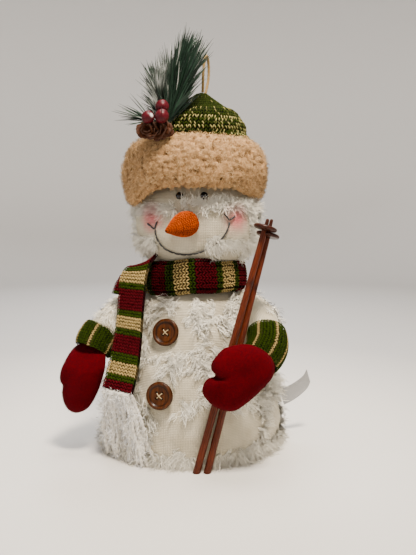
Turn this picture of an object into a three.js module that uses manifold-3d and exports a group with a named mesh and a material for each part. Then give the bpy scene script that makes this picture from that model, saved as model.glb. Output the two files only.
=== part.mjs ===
// A stuffed cloth snowman with a knitted hat and scarf, felt mittens and two wooden ski poles.
// Millimetres, +Z up. The origin is the middle of the flat base. The body's front faces -Y, and
// +X is towards the snowman's own left hand. Left and right in names are the snowman's own.
import * as THREE from 'three';
import Module from 'manifold-3d';
import { mergeVertices } from 'three/addons/utils/BufferGeometryUtils.js';

const wasm = await Module();
wasm.setup();

// Driving dimensions
const GAP = 0.4; // air kept between two pieces that touch
const BASE_RADIUS = 99;
const BODY_HEIGHT = 178;
const HEAD_CENTRE = new THREE.Vector3(5.7, 1.8, 248);
const HEAD_HALF = new THREE.Vector3(69, 57, 56);
const HEAD_SQUARENESS = 2.3; // exponent of the rounded head: 2 is an ellipsoid
const HEAD_TURN = 9; // degrees, the face looks a little towards the snowman's left
const HAT_TURN = 17;
const HAT_DEPTH_RATIO = 0.88;
const CUFF_DEPTH_RATIO = 0.9;
const CUFF_PITCH = 10; // degrees, the sherpa cuff sits lower at the back
const SCARF_THICKNESS = 5;
const SCARF_WIDTH = 35;
const ARM_RADIUS = 18;
const WRIST_CUFF_RADIUS = 21;
const BUTTON_RADIUS = 14.4;
const POLE_RADIUS = 4;
const POLE_PRONG_RADIUS = 2;
const POLE_PRONG_LENGTH = 12;
const BASKET_RADIUS = 10;
const BASKET_THICKNESS = 3;
const LABEL_THICKNESS = 1;
const FRINGE_THICKNESS = 12;
const FLOSS_RADIUS = 0.8;
const TWINE_RADIUS = 1.6;

const snowman = new THREE.Group();
const point = (x, y, z) => new THREE.Vector3(x, y, z);
const radians = THREE.MathUtils.degToRad;

// Turns a closed three.js geometry into a solid that can be joined and cut.
function solidOf(geometry) {
  const bare = geometry.clone();
  bare.deleteAttribute('normal');
  bare.deleteAttribute('uv');
  const merged = mergeVertices(bare, 1e-4);
  return new wasm.Manifold(new wasm.Mesh({
    numProp: 3,
    vertProperties: new Float32Array(merged.attributes.position.array),
    triVerts: new Uint32Array(merged.index.array),
  }));
}

// Turns a solid back into a three.js geometry.
function geometryOf(solid) {
  const mesh = solid.getMesh();
  const geometry = new THREE.BufferGeometry();
  geometry.setAttribute('position', new THREE.BufferAttribute(mesh.vertProperties, 3));
  geometry.setIndex(new THREE.BufferAttribute(mesh.triVerts, 1));
  geometry.computeVertexNormals();
  return geometry;
}

// Cuts every one of the other solids out of the first.
function clearOf(solid, ...others) {
  return others.reduce((rest, other) => rest.subtract(other), solid);
}

// Adds one named sub-part to the snowman.
function addPiece(name, solid, color, roughness) {
  const material = new THREE.MeshStandardMaterial({ color, roughness, metalness: 0 });
  const mesh = new THREE.Mesh(geometryOf(solid), material);
  mesh.name = name;
  snowman.add(mesh);
}

// A turned solid on the Z axis from [radius, height] pairs that start and end on the axis.
function turned(profile, segments) {
  const points = profile.map(([radius, height]) => new THREE.Vector2(Math.max(radius, 0), height));
  return new THREE.LatheGeometry(points, segments).rotateX(Math.PI / 2);
}

// A sphere pushed out towards a box shape, with the given half sizes and exponent.
function roundedForm(half, exponent, around, up) {
  const geometry = new THREE.SphereGeometry(1, around, up).rotateX(Math.PI / 2);
  const position = geometry.attributes.position;
  const p = new THREE.Vector3();
  for (let i = 0; i < position.count; i += 1) {
    p.fromBufferAttribute(position, i);
    const sum = Math.abs(p.x) ** exponent + Math.abs(p.y) ** exponent + Math.abs(p.z) ** exponent;
    p.multiplyScalar(sum ** (-1 / exponent)).multiply(half);
    position.setXYZ(i, p.x, p.y, p.z);
  }
  return geometry;
}

// A round tube along a smooth curve through the points, closed at both ends.
function tube(points, radius, sides, steps) {
  const section = new THREE.Shape();
  section.absellipse(0, 0, radius, radius, 0, 2 * Math.PI, false, 0);
  const extrudePath = new THREE.CatmullRomCurve3(points);
  return new THREE.ExtrudeGeometry(section, { extrudePath, steps, curveSegments: sides / 2 });
}

// A stuffed flat form with a smooth outline in its own XY plane: a sphere whose equator follows
// the outline, and whose poles are half the thickness away on either side.
function pillow(outline, thickness, around, up) {
  const curve = new THREE.CatmullRomCurve3(outline.map(([x, y]) => point(x, y, 0)).reverse(), true);
  const geometry = new THREE.SphereGeometry(1, around, up).rotateX(Math.PI / 2);
  const position = geometry.attributes.position;
  for (let i = 0; i < position.count; i += 1) {
    const column = i % (around + 1);
    const height = position.getZ(i);
    const spread = Math.sqrt(Math.max(0, 1 - height * height)) ** 0.7;
    const edge = curve.getPoint((column % around) / around);
    position.setXYZ(i, edge.x * spread, edge.y * spread, height * thickness / 2);
  }
  return geometry;
}

// Puts a geometry made around the Z axis at a place, with its Z axis along the direction.
function aimed(geometry, at, direction) {
  const turn = new THREE.Quaternion().setFromUnitVectors(point(0, 0, 1), direction.clone().normalize());
  return geometry.applyQuaternion(turn).translate(at.x, at.y, at.z);
}

// ---- Body: a bell of stuffed cloth with a flat sewn-in base ----
function bodyForm(grow) {
  return turned([
    [0, -grow], [BASE_RADIUS - 3 + grow, -grow], [BASE_RADIUS + 2 + grow, 5], [BASE_RADIUS + 3 + grow, 20],
    [BASE_RADIUS + 2 + grow, 45], [97 + grow, 70], [91 + grow, 92], [82 + grow, 114],
    [71 + grow, 138], [60 + grow, 158], [51 + grow, 170], [40 + grow, BODY_HEIGHT - 2 + grow],
    [0, BODY_HEIGHT + grow],
  ], 32);
}
const body = solidOf(bodyForm(0));
const bodyRoom = solidOf(bodyForm(GAP));
addPiece('body', body, 0xe9e5d8, 0.95);

// ---- Head: a wide rounded form of the same cloth ----
function headForm(grow) {
  const half = HEAD_HALF.clone().addScalar(grow);
  return roundedForm(half, HEAD_SQUARENESS, 24, 14)
    .rotateZ(radians(HEAD_TURN))
    .translate(HEAD_CENTRE.x, HEAD_CENTRE.y, HEAD_CENTRE.z);
}
const head = solidOf(headForm(0));
const headRoom = solidOf(headForm(GAP));
addPiece('head', head, 0xe9e5d8, 0.95);

// A point on the head, or out from it, from an azimuth and an elevation in degrees: azimuth 0 is
// the middle of the face, and positive is towards the snowman's left.
function onHead(azimuth, elevation, out) {
  const a = radians(azimuth);
  const e = radians(elevation);
  const p = point(Math.sin(a) * Math.cos(e), -Math.cos(a) * Math.cos(e), Math.sin(e));
  const n = HEAD_SQUARENESS;
  const sum = Math.abs(p.x) ** n + Math.abs(p.y) ** n + Math.abs(p.z) ** n;
  p.multiplyScalar(sum ** (-1 / n)).multiply(HEAD_HALF.clone().addScalar(out));
  return p.applyAxisAngle(point(0, 0, 1), radians(HEAD_TURN)).add(HEAD_CENTRE);
}

// ---- Face: bead eyes, a knitted carrot nose and a smile of black floss ----
const eyeForm = () => roundedForm(point(3.8, 3.8, 3.8), 2, 10, 6);
for (const [name, azimuth] of [['eye_right', -11], ['eye_left', 14]]) {
  const at = onHead(azimuth, 33, 0.6);
  addPiece(name, clearOf(solidOf(eyeForm().translate(at.x, at.y, at.z)), headRoom), 0x0c0c0d, 0.2);
}

const noseBase = point(13.6, -53, 250.5);
const noseTip = point(1.8, -95.6, 243.2);
const noseLength = noseBase.distanceTo(noseTip);
const noseForm = turned([
  [0, 0], [11.5, 0], [13, 4], [13.2, 9], [12, 16], [9.6, 24], [6.6, 32], [4.2, 38],
  [2.6, noseLength - 2.4], [0, noseLength],
], 16);
const nose = aimed(noseForm, noseBase, noseTip.clone().sub(noseBase));
addPiece('nose', clearOf(solidOf(nose), headRoom), 0xd2701a, 0.85);

const FLOSS_OUT = FLOSS_RADIUS + GAP + 0.1;
const smileRoute = [
  [-32, -5], [-31.5, -11], [-29.5, -18], [-24.5, -25.5], [-15.5, -30.5], [-4.5, -32.3], [7.5, -29.8],
  [20, -22], [28.5, -12.5], [32.8, -3], [34, 3],
];
const floss = (route, steps) => solidOf(
  tube(route.map(([a, e]) => onHead(a, e, FLOSS_OUT)), FLOSS_RADIUS, 8, steps));
addPiece('smile_stitch', floss(smileRoute, 16), 0x111113, 0.6);
const cheekStitches = {
  cheek_stitch_right: [[[-39.6, 0.8], [-32.8, -2.6]], [[-30.6, 3.2], [-32.6, -2.8]]],
  cheek_stitch_left: [[[30.8, 10.8], [33.8, 5.4]], [[39, 8.6], [34.2, 5.2]]],
};
for (const [name, [outer, inner]] of Object.entries(cheekStitches)) {
  const curved = ([from, to]) => [from, [(from[0] + to[0]) / 2, (from[1] + to[1]) / 2], to];
  addPiece(name, floss(curved(outer), 4).add(floss(curved(inner), 4)), 0x111113, 0.6);
}

// ---- Hat: a slouching knitted crown inside a turned-up sherpa cuff ----
function crownForm(grow) {
  const form = turned([
    [0, 305.4 - grow], [60 + grow, 305.4 - grow], [64 + grow, 318], [61.5 + grow, 333], [55 + grow, 347],
    [45 + grow, 360], [33 + grow, 373], [22 + grow, 382.5], [10 + grow, 390 + grow], [0, 393 + grow],
  ], 28);
  return form.scale(1, HAT_DEPTH_RATIO, 1).rotateZ(radians(HAT_TURN)).translate(6, 1.5, 0);
}
// The peak of the crown leans a little to one side.
function leaned(geometry) {
  const position = geometry.attributes.position;
  for (let i = 0; i < position.count; i += 1) {
    const rise = Math.max(0, position.getZ(i) - 340) / 53;
    position.setX(i, position.getX(i) + 6 * rise * rise);
    position.setY(i, position.getY(i) - 2 * rise * rise);
  }
  return geometry;
}
const crown = solidOf(leaned(crownForm(0)));
const crownRoom = solidOf(leaned(crownForm(GAP)));
addPiece('hat_crown', crown, 0x4f6b1f, 0.9);

const pineconeAt = point(-18, -69.5, 345);
function pineconeForm(grow) {
  const half = point(17.5 + grow, 10.5 + grow, 10 + grow);
  return roundedForm(half, 2, 14, 9).rotateZ(radians(HAT_TURN))
    .translate(pineconeAt.x, pineconeAt.y, pineconeAt.z);
}

function cuffForm(grow) {
  const section = [
    [66 - grow, -22 - grow], [72, -26 - grow], [79 + grow, -23], [83.5 + grow, -12], [84.5 + grow, 2],
    [82 + grow, 16], [76, 25 + grow], [68, 27 + grow], [60 - grow, 22], [60 - grow, -14], [66 - grow, -22 - grow],
  ];
  const points = section.map(([radius, height]) => new THREE.Vector2(radius, height));
  return new THREE.LatheGeometry(points, 22)
    .rotateX(Math.PI / 2)
    .scale(1, CUFF_DEPTH_RATIO, 1)
    .rotateX(radians(-CUFF_PITCH))
    .rotateZ(radians(HAT_TURN))
    .translate(3.3, 1.2, 304);
}
const cuff = clearOf(solidOf(cuffForm(0)), headRoom, crownRoom, solidOf(pineconeForm(GAP)));
addPiece('hat_cuff', cuff, 0xd9b98c, 1);

// ---- Pick on the hat: pine sprig, three berries and a cone ----
const berries = [
  ['berry_top', point(-10.8, -67.1, 368.6), 7.1],
  ['berry_middle', point(-7.8, -76.6, 357.9), 7.1],
  ['berry_side', point(-21.5, -79.8, 357.1), 6.5],
];
const berryForm = (at, radius) => solidOf(
  roundedForm(point(radius, radius, radius), 2, 10, 8).translate(at.x, at.y, at.z));
for (const [name, at, radius] of berries) {
  addPiece(name, berryForm(at, radius), 0x8c1230, 0.3);
}
const berryRoom = berries.map(([, at, radius]) => berryForm(at, radius + GAP));
addPiece('pinecone', clearOf(solidOf(pineconeForm(0)), ...berryRoom), 0x5a3216, 0.8);
// Each bunch of needles is a slim rounded form from the wired stem to the needle tips.
function bunch(from, to, halfWidth, halfDepth) {
  const along = to.clone().sub(from);
  const form = roundedForm(point(halfWidth, halfDepth, along.length() / 2), 2.4, 10, 6);
  return solidOf(aimed(form.rotateZ(radians(HAT_TURN)), from.clone().add(to).divideScalar(2), along));
}
const pineStem = point(-9, -56, 352);
const sprig = bunch(pineStem, point(15, -27, 457), 21, 10)
  .add(bunch(pineStem, point(-26, -54, 414), 14, 9))
  .add(bunch(pineStem, point(-51, -78, 366), 16, 8));
addPiece('pine_sprig', clearOf(
  sprig, crownRoom, solidOf(cuffForm(GAP)), solidOf(pineconeForm(GAP)), ...berryRoom,
), 0x22392b, 0.7);

// ---- Hanging loop: a short loop of twine sewn to the peak of the hat ----
const loopRoute = [
  point(13.5, -2.5, 392), point(14.5, -5, 399), point(15.5, -7.5, 409), point(16.5, -7.5, 420),
  point(17, -4.5, 428), point(17, 1, 431), point(17, 6.5, 428), point(17, 10, 420),
  point(16.5, 10.5, 409), point(15.5, 8, 399), point(14.5, 4.5, 391),
];
addPiece('hanging_loop', clearOf(solidOf(tube(loopRoute, TWINE_RADIUS, 8, 18)), crownRoom), 0xcaa978, 0.95);

// ---- Scarf: one knitted strip round the neck, with both ends hanging on the right ----
const neckSection = [
  [51, -15], [56.5, -15.5], [58, -4], [57.5, 8], [54.5, 15.5], [49.5, 15.5], [51, -15],
].map(([radius, height]) => new THREE.Vector2(radius, height));
const neckBand = new THREE.LatheGeometry(neckSection, 24)
  .rotateX(Math.PI / 2)
  .scale(1, 0.97, 1)
  .rotateY(radians(-4))
  .rotateX(radians(-3))
  .translate(2, 0.6, 190.5);
// A flat strap along a route: its width lies along the given direction all the way.
function strap(route, across, widths, thickness, steps) {
  const curve = new THREE.CatmullRomCurve3(route);
  const side = across.clone().normalize();
  const geometry = new THREE.BoxGeometry(1, 1, 1, 1, 1, steps);
  const position = geometry.attributes.position;
  for (let i = 0; i < position.count; i += 1) {
    const share = position.getZ(i) + 0.5;
    const face = curve.getTangent(share).cross(side).normalize();
    const width = THREE.MathUtils.lerp(widths[0], widths[1], share);
    const at = curve.getPoint(share)
      .addScaledVector(side, position.getX(i) * width)
      .addScaledVector(face, position.getY(i) * thickness);
    position.setXYZ(i, at.x, at.y, at.z);
  }
  return solidOf(geometry);
}
const TAIL_SIDE = point(0.93, -0.37, 0);
const tail = strap([
  point(-38, -40, 205), point(-42.5, -56, 203.5), point(-45.5, -66, 192), point(-46, -70.5, 174),
  point(-46, -76.5, 150), point(-46.5, -83, 124), point(-48.5, -91.5, 98), point(-51.5, -100, 76.5),
], TAIL_SIDE, [31, SCARF_WIDTH + 2], SCARF_THICKNESS, 12);
const underEnd = strap([
  point(-44, -42, 199), point(-53, -55, 192), point(-58, -62, 182), point(-60, -66, 172),
], TAIL_SIDE, [28, 30], SCARF_THICKNESS, 5);
const scarf = clearOf(solidOf(neckBand).add(tail).add(underEnd), headRoom, bodyRoom);

// ---- Arms, wrist cuffs and mittens ----
// The right arm hangs at the side. The left arm comes forward and its mitten holds the poles.
const armRoutes = {
  right: [
    point(-37.7, -13.6, 158), point(-60, -27, 156), point(-75, -43, 145), point(-82, -56, 132),
    point(-87, -66, 117),
  ],
  left: [
    point(38, 5.4, 160), point(61, 2, 157), point(78, -9, 148), point(91, -27, 135), point(94.5, -43, 121),
  ],
};
const armForm = (side, grow) => solidOf(tube(armRoutes[side], ARM_RADIUS + grow, 12, 10));

const mittenOutlines = {
  right: [
    [23, 31], [26, 18], [22, 3], [16, -14], [6, -29], [-8, -35], [-18, -29], [-22, -17], [-19.5, -5],
    [-22, 3], [-15, 20], [-5, 35], [8, 37],
  ],
  left: [
    [-21, 20], [-10, 31], [10, 35], [27, 29], [37, 17], [36, 3], [24, -11], [10, -24], [-4, -31],
    [-20, -26], [-31.5, -12], [-28, 0], [-19, 4.5], [-23, 11],
  ],
};
const mittenPlaces = {
  right: { at: point(-101, -84, 79), turn: -8, thickness: 28 },
  left: { at: point(74.5, -99.5, 98), turn: 17, thickness: 27 },
};
function mittenForm(side, grow) {
  const { at, turn, thickness } = mittenPlaces[side];
  const grown = mittenOutlines[side].map(([x, y]) => {
    const away = 1 + grow / Math.hypot(x, y);
    return [x * away, y * away];
  });
  return solidOf(pillow(grown, thickness + 2 * grow, 20, 8)
    .rotateX(Math.PI / 2)
    .rotateZ(radians(turn))
    .translate(at.x, at.y, at.z));
}
const wristRoutes = {
  right: [point(-82, -57, 134), point(-86, -64, 123), point(-89, -70, 113)],
  left: [point(92.5, -28, 134), point(95, -44, 120), point(90.5, -59, 107)],
};
const skiPoles = [
  { name: 'pole_1', basket: 'basket_1', foot: point(36.4, -104, 2.5), tip: point(96.2, -49, 255), drop: 0 },
  { name: 'pole_2', basket: 'basket_2', foot: point(46.8, -100.8, 2.5), tip: point(98.4, -39, 254), drop: 7 },
];
const poleLength = ({ foot, tip }) => foot.distanceTo(tip);
function poleForm(pole, grow) {
  const length = poleLength(pole);
  const shoulder = length - POLE_PRONG_LENGTH - pole.drop;
  return solidOf(aimed(turned([
    [0, -grow], [POLE_RADIUS + grow, -grow], [POLE_RADIUS - 0.4 + grow, shoulder + grow],
    [POLE_PRONG_RADIUS + grow, shoulder + grow + 0.1], [POLE_PRONG_RADIUS - 0.3 + grow, length + grow],
    [0, length + grow],
  ], 12), pole.foot, pole.tip.clone().sub(pole.foot)));
}
const poleRoom = skiPoles.map((pole) => poleForm(pole, GAP));
for (const side of ['right', 'left']) {
  const mitten = clearOf(mittenForm(side, 0), bodyRoom, ...poleRoom);
  addPiece(`mitten_${side}`, mitten, 0x7d0016, 1);
  const arm = clearOf(armForm(side, 0), bodyRoom, headRoom, mittenForm(side, GAP), ...poleRoom);
  addPiece(`arm_${side}`, arm, 0xe9e5d8, 0.95);
  const wristCuff = clearOf(
    solidOf(tube(wristRoutes[side], WRIST_CUFF_RADIUS, 16, 4)),
    armForm(side, GAP), mittenForm(side, GAP), bodyRoom, ...poleRoom,
  );
  addPiece(`wrist_cuff_${side}`, wristCuff, 0x35501a, 0.95);
}
const armRoom = ['right', 'left'].map((side) => armForm(side, GAP));
const cuffRoom = ['right', 'left'].map(
  (side) => solidOf(tube(wristRoutes[side], WRIST_CUFF_RADIUS + GAP, 16, 4)));
addPiece('scarf', clearOf(scarf, ...armRoom, ...cuffRoom), 0x6f1220, 0.95);

// ---- Scarf fringe: a full skirt of loose yarn below the tail, down to the floor ----
const fringe = strap([
  point(-51.6, -101, 75.5), point(-49.5, -106, 50), point(-46, -110.5, 25), point(-44, -112, 1.5),
], TAIL_SIDE, [SCARF_WIDTH + 1, 60], FRINGE_THICKNESS, 4);
addPiece('scarf_fringe', clearOf(fringe, bodyRoom, mittenForm('right', GAP)), 0xf0eee8, 1);

// ---- Ski poles: turned sticks with a slim prong through a small wooden basket ----
function basketForm(pole, grow) {
  const along = pole.tip.clone().sub(pole.foot).normalize();
  const shoulder = poleLength(pole) - POLE_PRONG_LENGTH - pole.drop;
  const at = pole.foot.clone().addScaledVector(along, shoulder + GAP + 0.2);
  return solidOf(aimed(turned([
    [0, -grow], [BASKET_RADIUS - 1.5 + grow, -grow], [BASKET_RADIUS + grow, 1],
    [BASKET_RADIUS - 1 + grow, BASKET_THICKNESS + grow], [0, BASKET_THICKNESS - 1 + grow],
  ], 14), at, along));
}
for (const pole of skiPoles) {
  addPiece(pole.name, clearOf(poleForm(pole, 0), bodyRoom, headRoom), 0x86401f, 0.5);
  addPiece(pole.basket, clearOf(basketForm(pole, 0), ...poleRoom, headRoom), 0x5e2a14, 0.4);
}

// ---- Buttons: turned wood with a raised rim and four sewing holes ----
const buttonForm = turned([
  [0, -2], [11.5, -2], [14, -0.5], [BUTTON_RADIUS, 1.4], [13.4, 3], [11.6, 3.1], [10.4, 2.1], [9.4, 1.4],
  [0, 1.2],
], 18);
const holeForm = turned([[0, -4], [1.15, -4], [1.15, 4], [0, 4]], 6);
const BUTTON_HOLE_PLACES = [[2.6, 2.6], [-2.6, 2.6], [-2.6, -2.6], [2.6, -2.6]];
function button(at, facing) {
  const holes = BUTTON_HOLE_PLACES.map(([x, y]) => solidOf(holeForm.clone().translate(x, y, 0)));
  const drilled = clearOf(solidOf(buttonForm), ...holes);
  const turn = new THREE.Quaternion().setFromUnitVectors(point(0, 0, 1), facing.normalize());
  const place = new THREE.Matrix4().compose(at, turn, point(1, 1, 1));
  return clearOf(drilled.transform(place.elements), bodyRoom);
}
addPiece('button_upper', button(point(-6, -75, 136.5), point(-0.02, -1, 0.3)), 0x7d4214, 0.45);
addPiece('button_lower', button(point(-4, -101, 76), point(-0.02, -1, 0.16)), 0x7d4214, 0.45);

// ---- Care label: a bare satin ribbon sewn into the left side seam, curling up at its end ----
const label = strap([
  point(99.5, 36.5, 43), point(107, 38.5, 46.5), point(116, 42, 52), point(125, 46.5, 60),
  point(129, 48.5, 68),
], point(-0.28, 0.05, 0.95), [13, 10], LABEL_THICKNESS, 8);
addPiece('care_label', clearOf(label, bodyRoom), 0xf3f3f0, 0.5);

export default snowman;
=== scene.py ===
"""A stuffed cloth snowman with a knitted hat, scarf and cuffs, felt mittens and wooden ski poles.

Lengths are in millimetres until a mesh is made, and then in metres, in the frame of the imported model:
+Z up, the front of the body towards -Y, and +X towards the snowman's own left hand.
"""
from math import cos, pi, radians, sin

import bmesh
import bpy
import numpy as np
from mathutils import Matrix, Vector


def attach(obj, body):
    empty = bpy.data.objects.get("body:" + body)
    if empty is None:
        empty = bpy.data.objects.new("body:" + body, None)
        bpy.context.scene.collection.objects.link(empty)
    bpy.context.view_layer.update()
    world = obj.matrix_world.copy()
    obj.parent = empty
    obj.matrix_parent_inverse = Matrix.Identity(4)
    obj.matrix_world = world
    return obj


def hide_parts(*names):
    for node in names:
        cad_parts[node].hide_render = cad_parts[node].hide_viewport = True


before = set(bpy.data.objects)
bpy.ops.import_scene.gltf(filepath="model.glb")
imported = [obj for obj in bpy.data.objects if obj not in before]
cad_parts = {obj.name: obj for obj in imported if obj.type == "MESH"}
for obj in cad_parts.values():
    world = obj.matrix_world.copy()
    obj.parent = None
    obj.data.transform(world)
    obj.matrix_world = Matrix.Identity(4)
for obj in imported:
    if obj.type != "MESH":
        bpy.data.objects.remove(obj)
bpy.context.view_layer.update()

# ---------------------------------------------------------------------------------------------
# The studio: a pale floor that sweeps up into a round wall, painted as a pool of light round the
# snowman, a key light high up in front, a weak fill from the left and soft lights from above and from
# behind. None of it is the snowman.
# ---------------------------------------------------------------------------------------------
MM = 0.001
VIEW_TURN = radians(17)  # the camera stands this far round towards the snowman's left
CAMERA_DISTANCE, CAMERA_HEIGHT, CAMERA_PITCH, CAMERA_YAW = 740, 273, radians(6.7), radians(1.41)


def linear(colour):
    """sRGB hex such as 'e9e5d8' as a linear RGBA tuple."""
    parts = [int(colour[i:i + 2], 16) / 255 for i in (0, 2, 4)]
    return tuple(c / 12.92 if c <= 0.04045 else ((c + 0.055) / 1.055) ** 2.4 for c in parts) + (1.0,)


def fill_sockets(tree, made, **inputs):
    """Gives a node its inputs, each a socket value or a (node, output) link. An underscore in a name stands
    for a space, and an underscore with a number is the socket at that index."""
    for name, value in inputs.items():
        socket = made.inputs[int(name[1:])] if name[0] == "_" else made.inputs[name.replace("_", " ")]
        if isinstance(value, tuple) and isinstance(value[0], bpy.types.Node):
            tree.links.new(value[0].outputs[value[1]], socket)
        else:
            socket.default_value = value
    return made


def node(tree, kind, settings=None, ramp=(), **inputs):
    """Adds one node. settings are its own properties, ramp is the (position, hex) stops of a colour ramp
    and inputs are as in fill_sockets."""
    made = tree.nodes.new(kind)
    for name, value in (settings or {}).items():
        setattr(made, name, value)
    if ramp:
        stops = made.color_ramp.elements
        stops[0].position, stops[1].position = ramp[0][0], ramp[-1][0]
        for position, _ in ramp[1:-1]:
            stops.new(position)
        for stop, (_, colour) in zip(stops, ramp):
            stop.color = linear(colour)
    return fill_sockets(tree, made, **inputs)


def new_material(name, **surface):
    """A material with one Principled shader, its constants set on the shader's own sockets."""
    made = bpy.data.materials.new(name)
    made.use_nodes = True
    tree = made.node_tree
    return made, tree, fill_sockets(tree, tree.nodes["Principled BSDF"], **surface)


def spun(radius, height, turn, depth=1.0):
    """A profile spun about Z, r sin t across, -depth r cos t back and z up, where t = 0 faces -Y."""
    return np.stack(np.broadcast_arrays(radius * np.sin(turn), -radius * np.cos(turn) * depth, height), -1)


# Painted light: the backdrop is painted as a pool of light, pale round the snowman, fading to grey by about
# half a metre out, grey to the foot of the sweep and paler again up it.
backdrop_painted_light, tree, shader = new_material("studio backdrop with a painted pool of light", Roughness=0.6)
place = node(tree, "ShaderNodeTexCoord")
reach = node(tree, "ShaderNodeVectorMath", {"operation": "LENGTH"}, _0=(place, "Object"))
spread = node(tree, "ShaderNodeMapRange", Value=(reach, "Value"), From_Min=0.22, From_Max=2.1)
tone = node(tree, "ShaderNodeValToRGB", Fac=(spread, "Result"),
            ramp=((0, "dad7d1"), (0.17, "b9b8b6"), (0.68, "b9b8b6"), (1, "d2d3d4")))
fill_sockets(tree, shader, Base_Color=(tone, "Color"))
# The floor is a disc 3 m across that sweeps up into a round wall, so that every side is seen against it.
DISH_COLUMNS, SWEEP_RADIUS = 72, 500
sweep = np.linspace(0, pi / 2, 12)
dish_radius = np.concatenate([[0], np.linspace(100, 1450, 10), 1500 + SWEEP_RADIUS * np.sin(sweep),
                              np.full(5, 2000.0)])
dish_height = np.concatenate([np.zeros(11), SWEEP_RADIUS * (1 - np.cos(sweep)), np.linspace(700, 2400, 5)])
dish_turn = np.radians(np.arange(DISH_COLUMNS) * 5)
corners = spun(dish_radius[:, None], dish_height[:, None], dish_turn).reshape(-1, 3) * MM
row_start = np.arange(len(dish_radius) - 1)[:, None] * DISH_COLUMNS
low = (row_start + np.arange(DISH_COLUMNS)).ravel()
after = (row_start + (np.arange(DISH_COLUMNS) + 1) % DISH_COLUMNS).ravel()
backdrop_faces = np.stack([low, after, after + DISH_COLUMNS, low + DISH_COLUMNS], 1)
backdrop_mesh = bpy.data.meshes.new("backdrop")
backdrop_mesh.from_pydata(corners.tolist(), [], backdrop_faces.tolist())
backdrop_mesh.shade_smooth()
backdrop_mesh.materials.append(backdrop_painted_light)
backdrop = bpy.data.objects.new("backdrop", backdrop_mesh)
bpy.context.scene.collection.objects.link(backdrop)

world = bpy.data.worlds.new("soft room")
bpy.context.scene.world = world
world.use_nodes = True
fill_sockets(world.node_tree, world.node_tree.nodes["Background"], Color=linear("eeeae4"), Strength=0.12)


def soft_light(name, place, size, watts, colour):
    """A square area light at a place in millimetres, aimed at the middle of the snowman."""
    lamp = bpy.data.lights.new(name, "AREA")
    lamp.size, lamp.energy, lamp.color = size, watts, linear(colour)[:3]
    holder = bpy.data.objects.new(name, lamp)
    holder.location = Vector(place) * MM
    holder.rotation_euler = (Vector((0, 0, 0.2)) - holder.location).to_track_quat("-Z", "Y").to_euler()
    bpy.context.scene.collection.objects.link(holder)


soft_light("key", (330, -440, 1450), 0.26, 50, "fff0de")
soft_light("fill", (-1100, -900, 600), 1.0, 3, "f2f4ff")
soft_light("top", (60, 160, 1500), 0.6, 18, "fffaf2")
soft_light("back", (-500, 1150, 1000), 0.7, 13, "f6f7ff")

camera = bpy.data.objects.new("camera", bpy.data.cameras.new("camera"))
camera.data.lens = 42.16
bpy.context.scene.collection.objects.link(camera)
bpy.context.scene.camera = camera
toward = Vector((sin(VIEW_TURN), -cos(VIEW_TURN), 0))
across = Vector((cos(VIEW_TURN), sin(VIEW_TURN), 0))
camera.location = (toward * CAMERA_DISTANCE + Vector((0, 0, CAMERA_HEIGHT))) * MM
sight = (-toward * cos(CAMERA_YAW) + across * sin(CAMERA_YAW)) * cos(CAMERA_PITCH)
sight.z = -sin(CAMERA_PITCH)
camera.rotation_euler = sight.to_track_quat("-Z", "Y").to_euler()

# ---------------------------------------------------------------------------------------------
# Body: a bell sewn from white cotton windowpane cloth over polyester stuffing, on a flat base.
# The cloth is plain weave in panes of about 50 mm, parted by strips where cut floats stand up
# as a shaggy fringe. The panes belly out a little and the fringed strips pull in.
# ---------------------------------------------------------------------------------------------
BODY_PROFILE = [(0, 0.2), (60, 0.2), (95, 0.2), (99.5, 3), (101, 10), (101, 22), (100, 45), (96, 70),
                (90, 92), (81, 114), (70, 138), (59, 158), (50, 170), (40, 175.5), (20, 177), (0, 177.5)]
PANE_TOPS = (66, 113, 148, 200)  # z of the level fringed strips above the hem
PANE_COUNTS = (9, 14, 14, 10)  # panes round the body in each row, from the hem up
FIRST_STRIP = 26  # degrees of azimuth where every row has an upright strip
BASE_GAP = 0.2  # the cloth of the base lies this far above the table
GIRTH_RADIUS = 88  # mm, the radius that the distance from an upright strip is measured at


def make_piece(name, points, faces, material, uv=None, tint=None, smooth=True, merge=0.0, lie=None):
    """A mesh object riding on the root body, from points (n, 3) in mm and faces (m, 3 or 4). uv holds one
    pair, tint one grey or RGB value and lie one direction for each point, in any grid shape. Points closer
    than merge mm are joined."""
    sides = faces.shape[1]
    mesh = bpy.data.meshes.new(name)
    mesh.vertices.add(len(points))
    mesh.vertices.foreach_set("co", (points * MM).astype(np.float32).ravel())
    mesh.loops.add(faces.size)
    mesh.loops.foreach_set("vertex_index", faces.astype(np.int32).ravel())
    mesh.polygons.add(len(faces))
    mesh.polygons.foreach_set("loop_start", np.arange(0, faces.size, sides, dtype=np.int32))
    mesh.polygons.foreach_set("use_smooth", np.full(len(faces), smooth))
    if uv is not None:
        layer = mesh.uv_layers.new(name="UVMap")
        layer.data.foreach_set("uv", uv.reshape(-1, 2)[faces.ravel()].astype(np.float32).ravel())
    if tint is not None:
        colours = np.ones((len(points), 4), np.float32)
        colours[:, :3] = tint.reshape(len(points), -1)
        mesh.color_attributes.new("tint", "FLOAT_COLOR", "POINT").data.foreach_set("color", colours.ravel())
    if lie is not None:
        layer = mesh.attributes.new("lie", "FLOAT_VECTOR", "POINT")
        layer.data.foreach_set("vector", lie.astype(np.float32).ravel())
    mesh.update(calc_edges=True)
    if merge:
        work = bmesh.new()
        work.from_mesh(mesh)
        bmesh.ops.remove_doubles(work, verts=work.verts, dist=merge * MM)
        bmesh.ops.recalc_face_normals(work, faces=work.faces)
        work.to_mesh(mesh)
        work.free()
    mesh.materials.append(material)
    made = bpy.data.objects.new(name, mesh)
    bpy.context.scene.collection.objects.link(made)
    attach(made, "root")
    return made


def lattice(row_count, column_count):
    """The four-cornered faces of a grid of points with that many rows and columns."""
    start = (np.arange(row_count - 1)[:, None] * column_count + np.arange(column_count - 1)).ravel()
    return np.stack([start, start + 1, start + 1 + column_count, start + column_count], 1)


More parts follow.
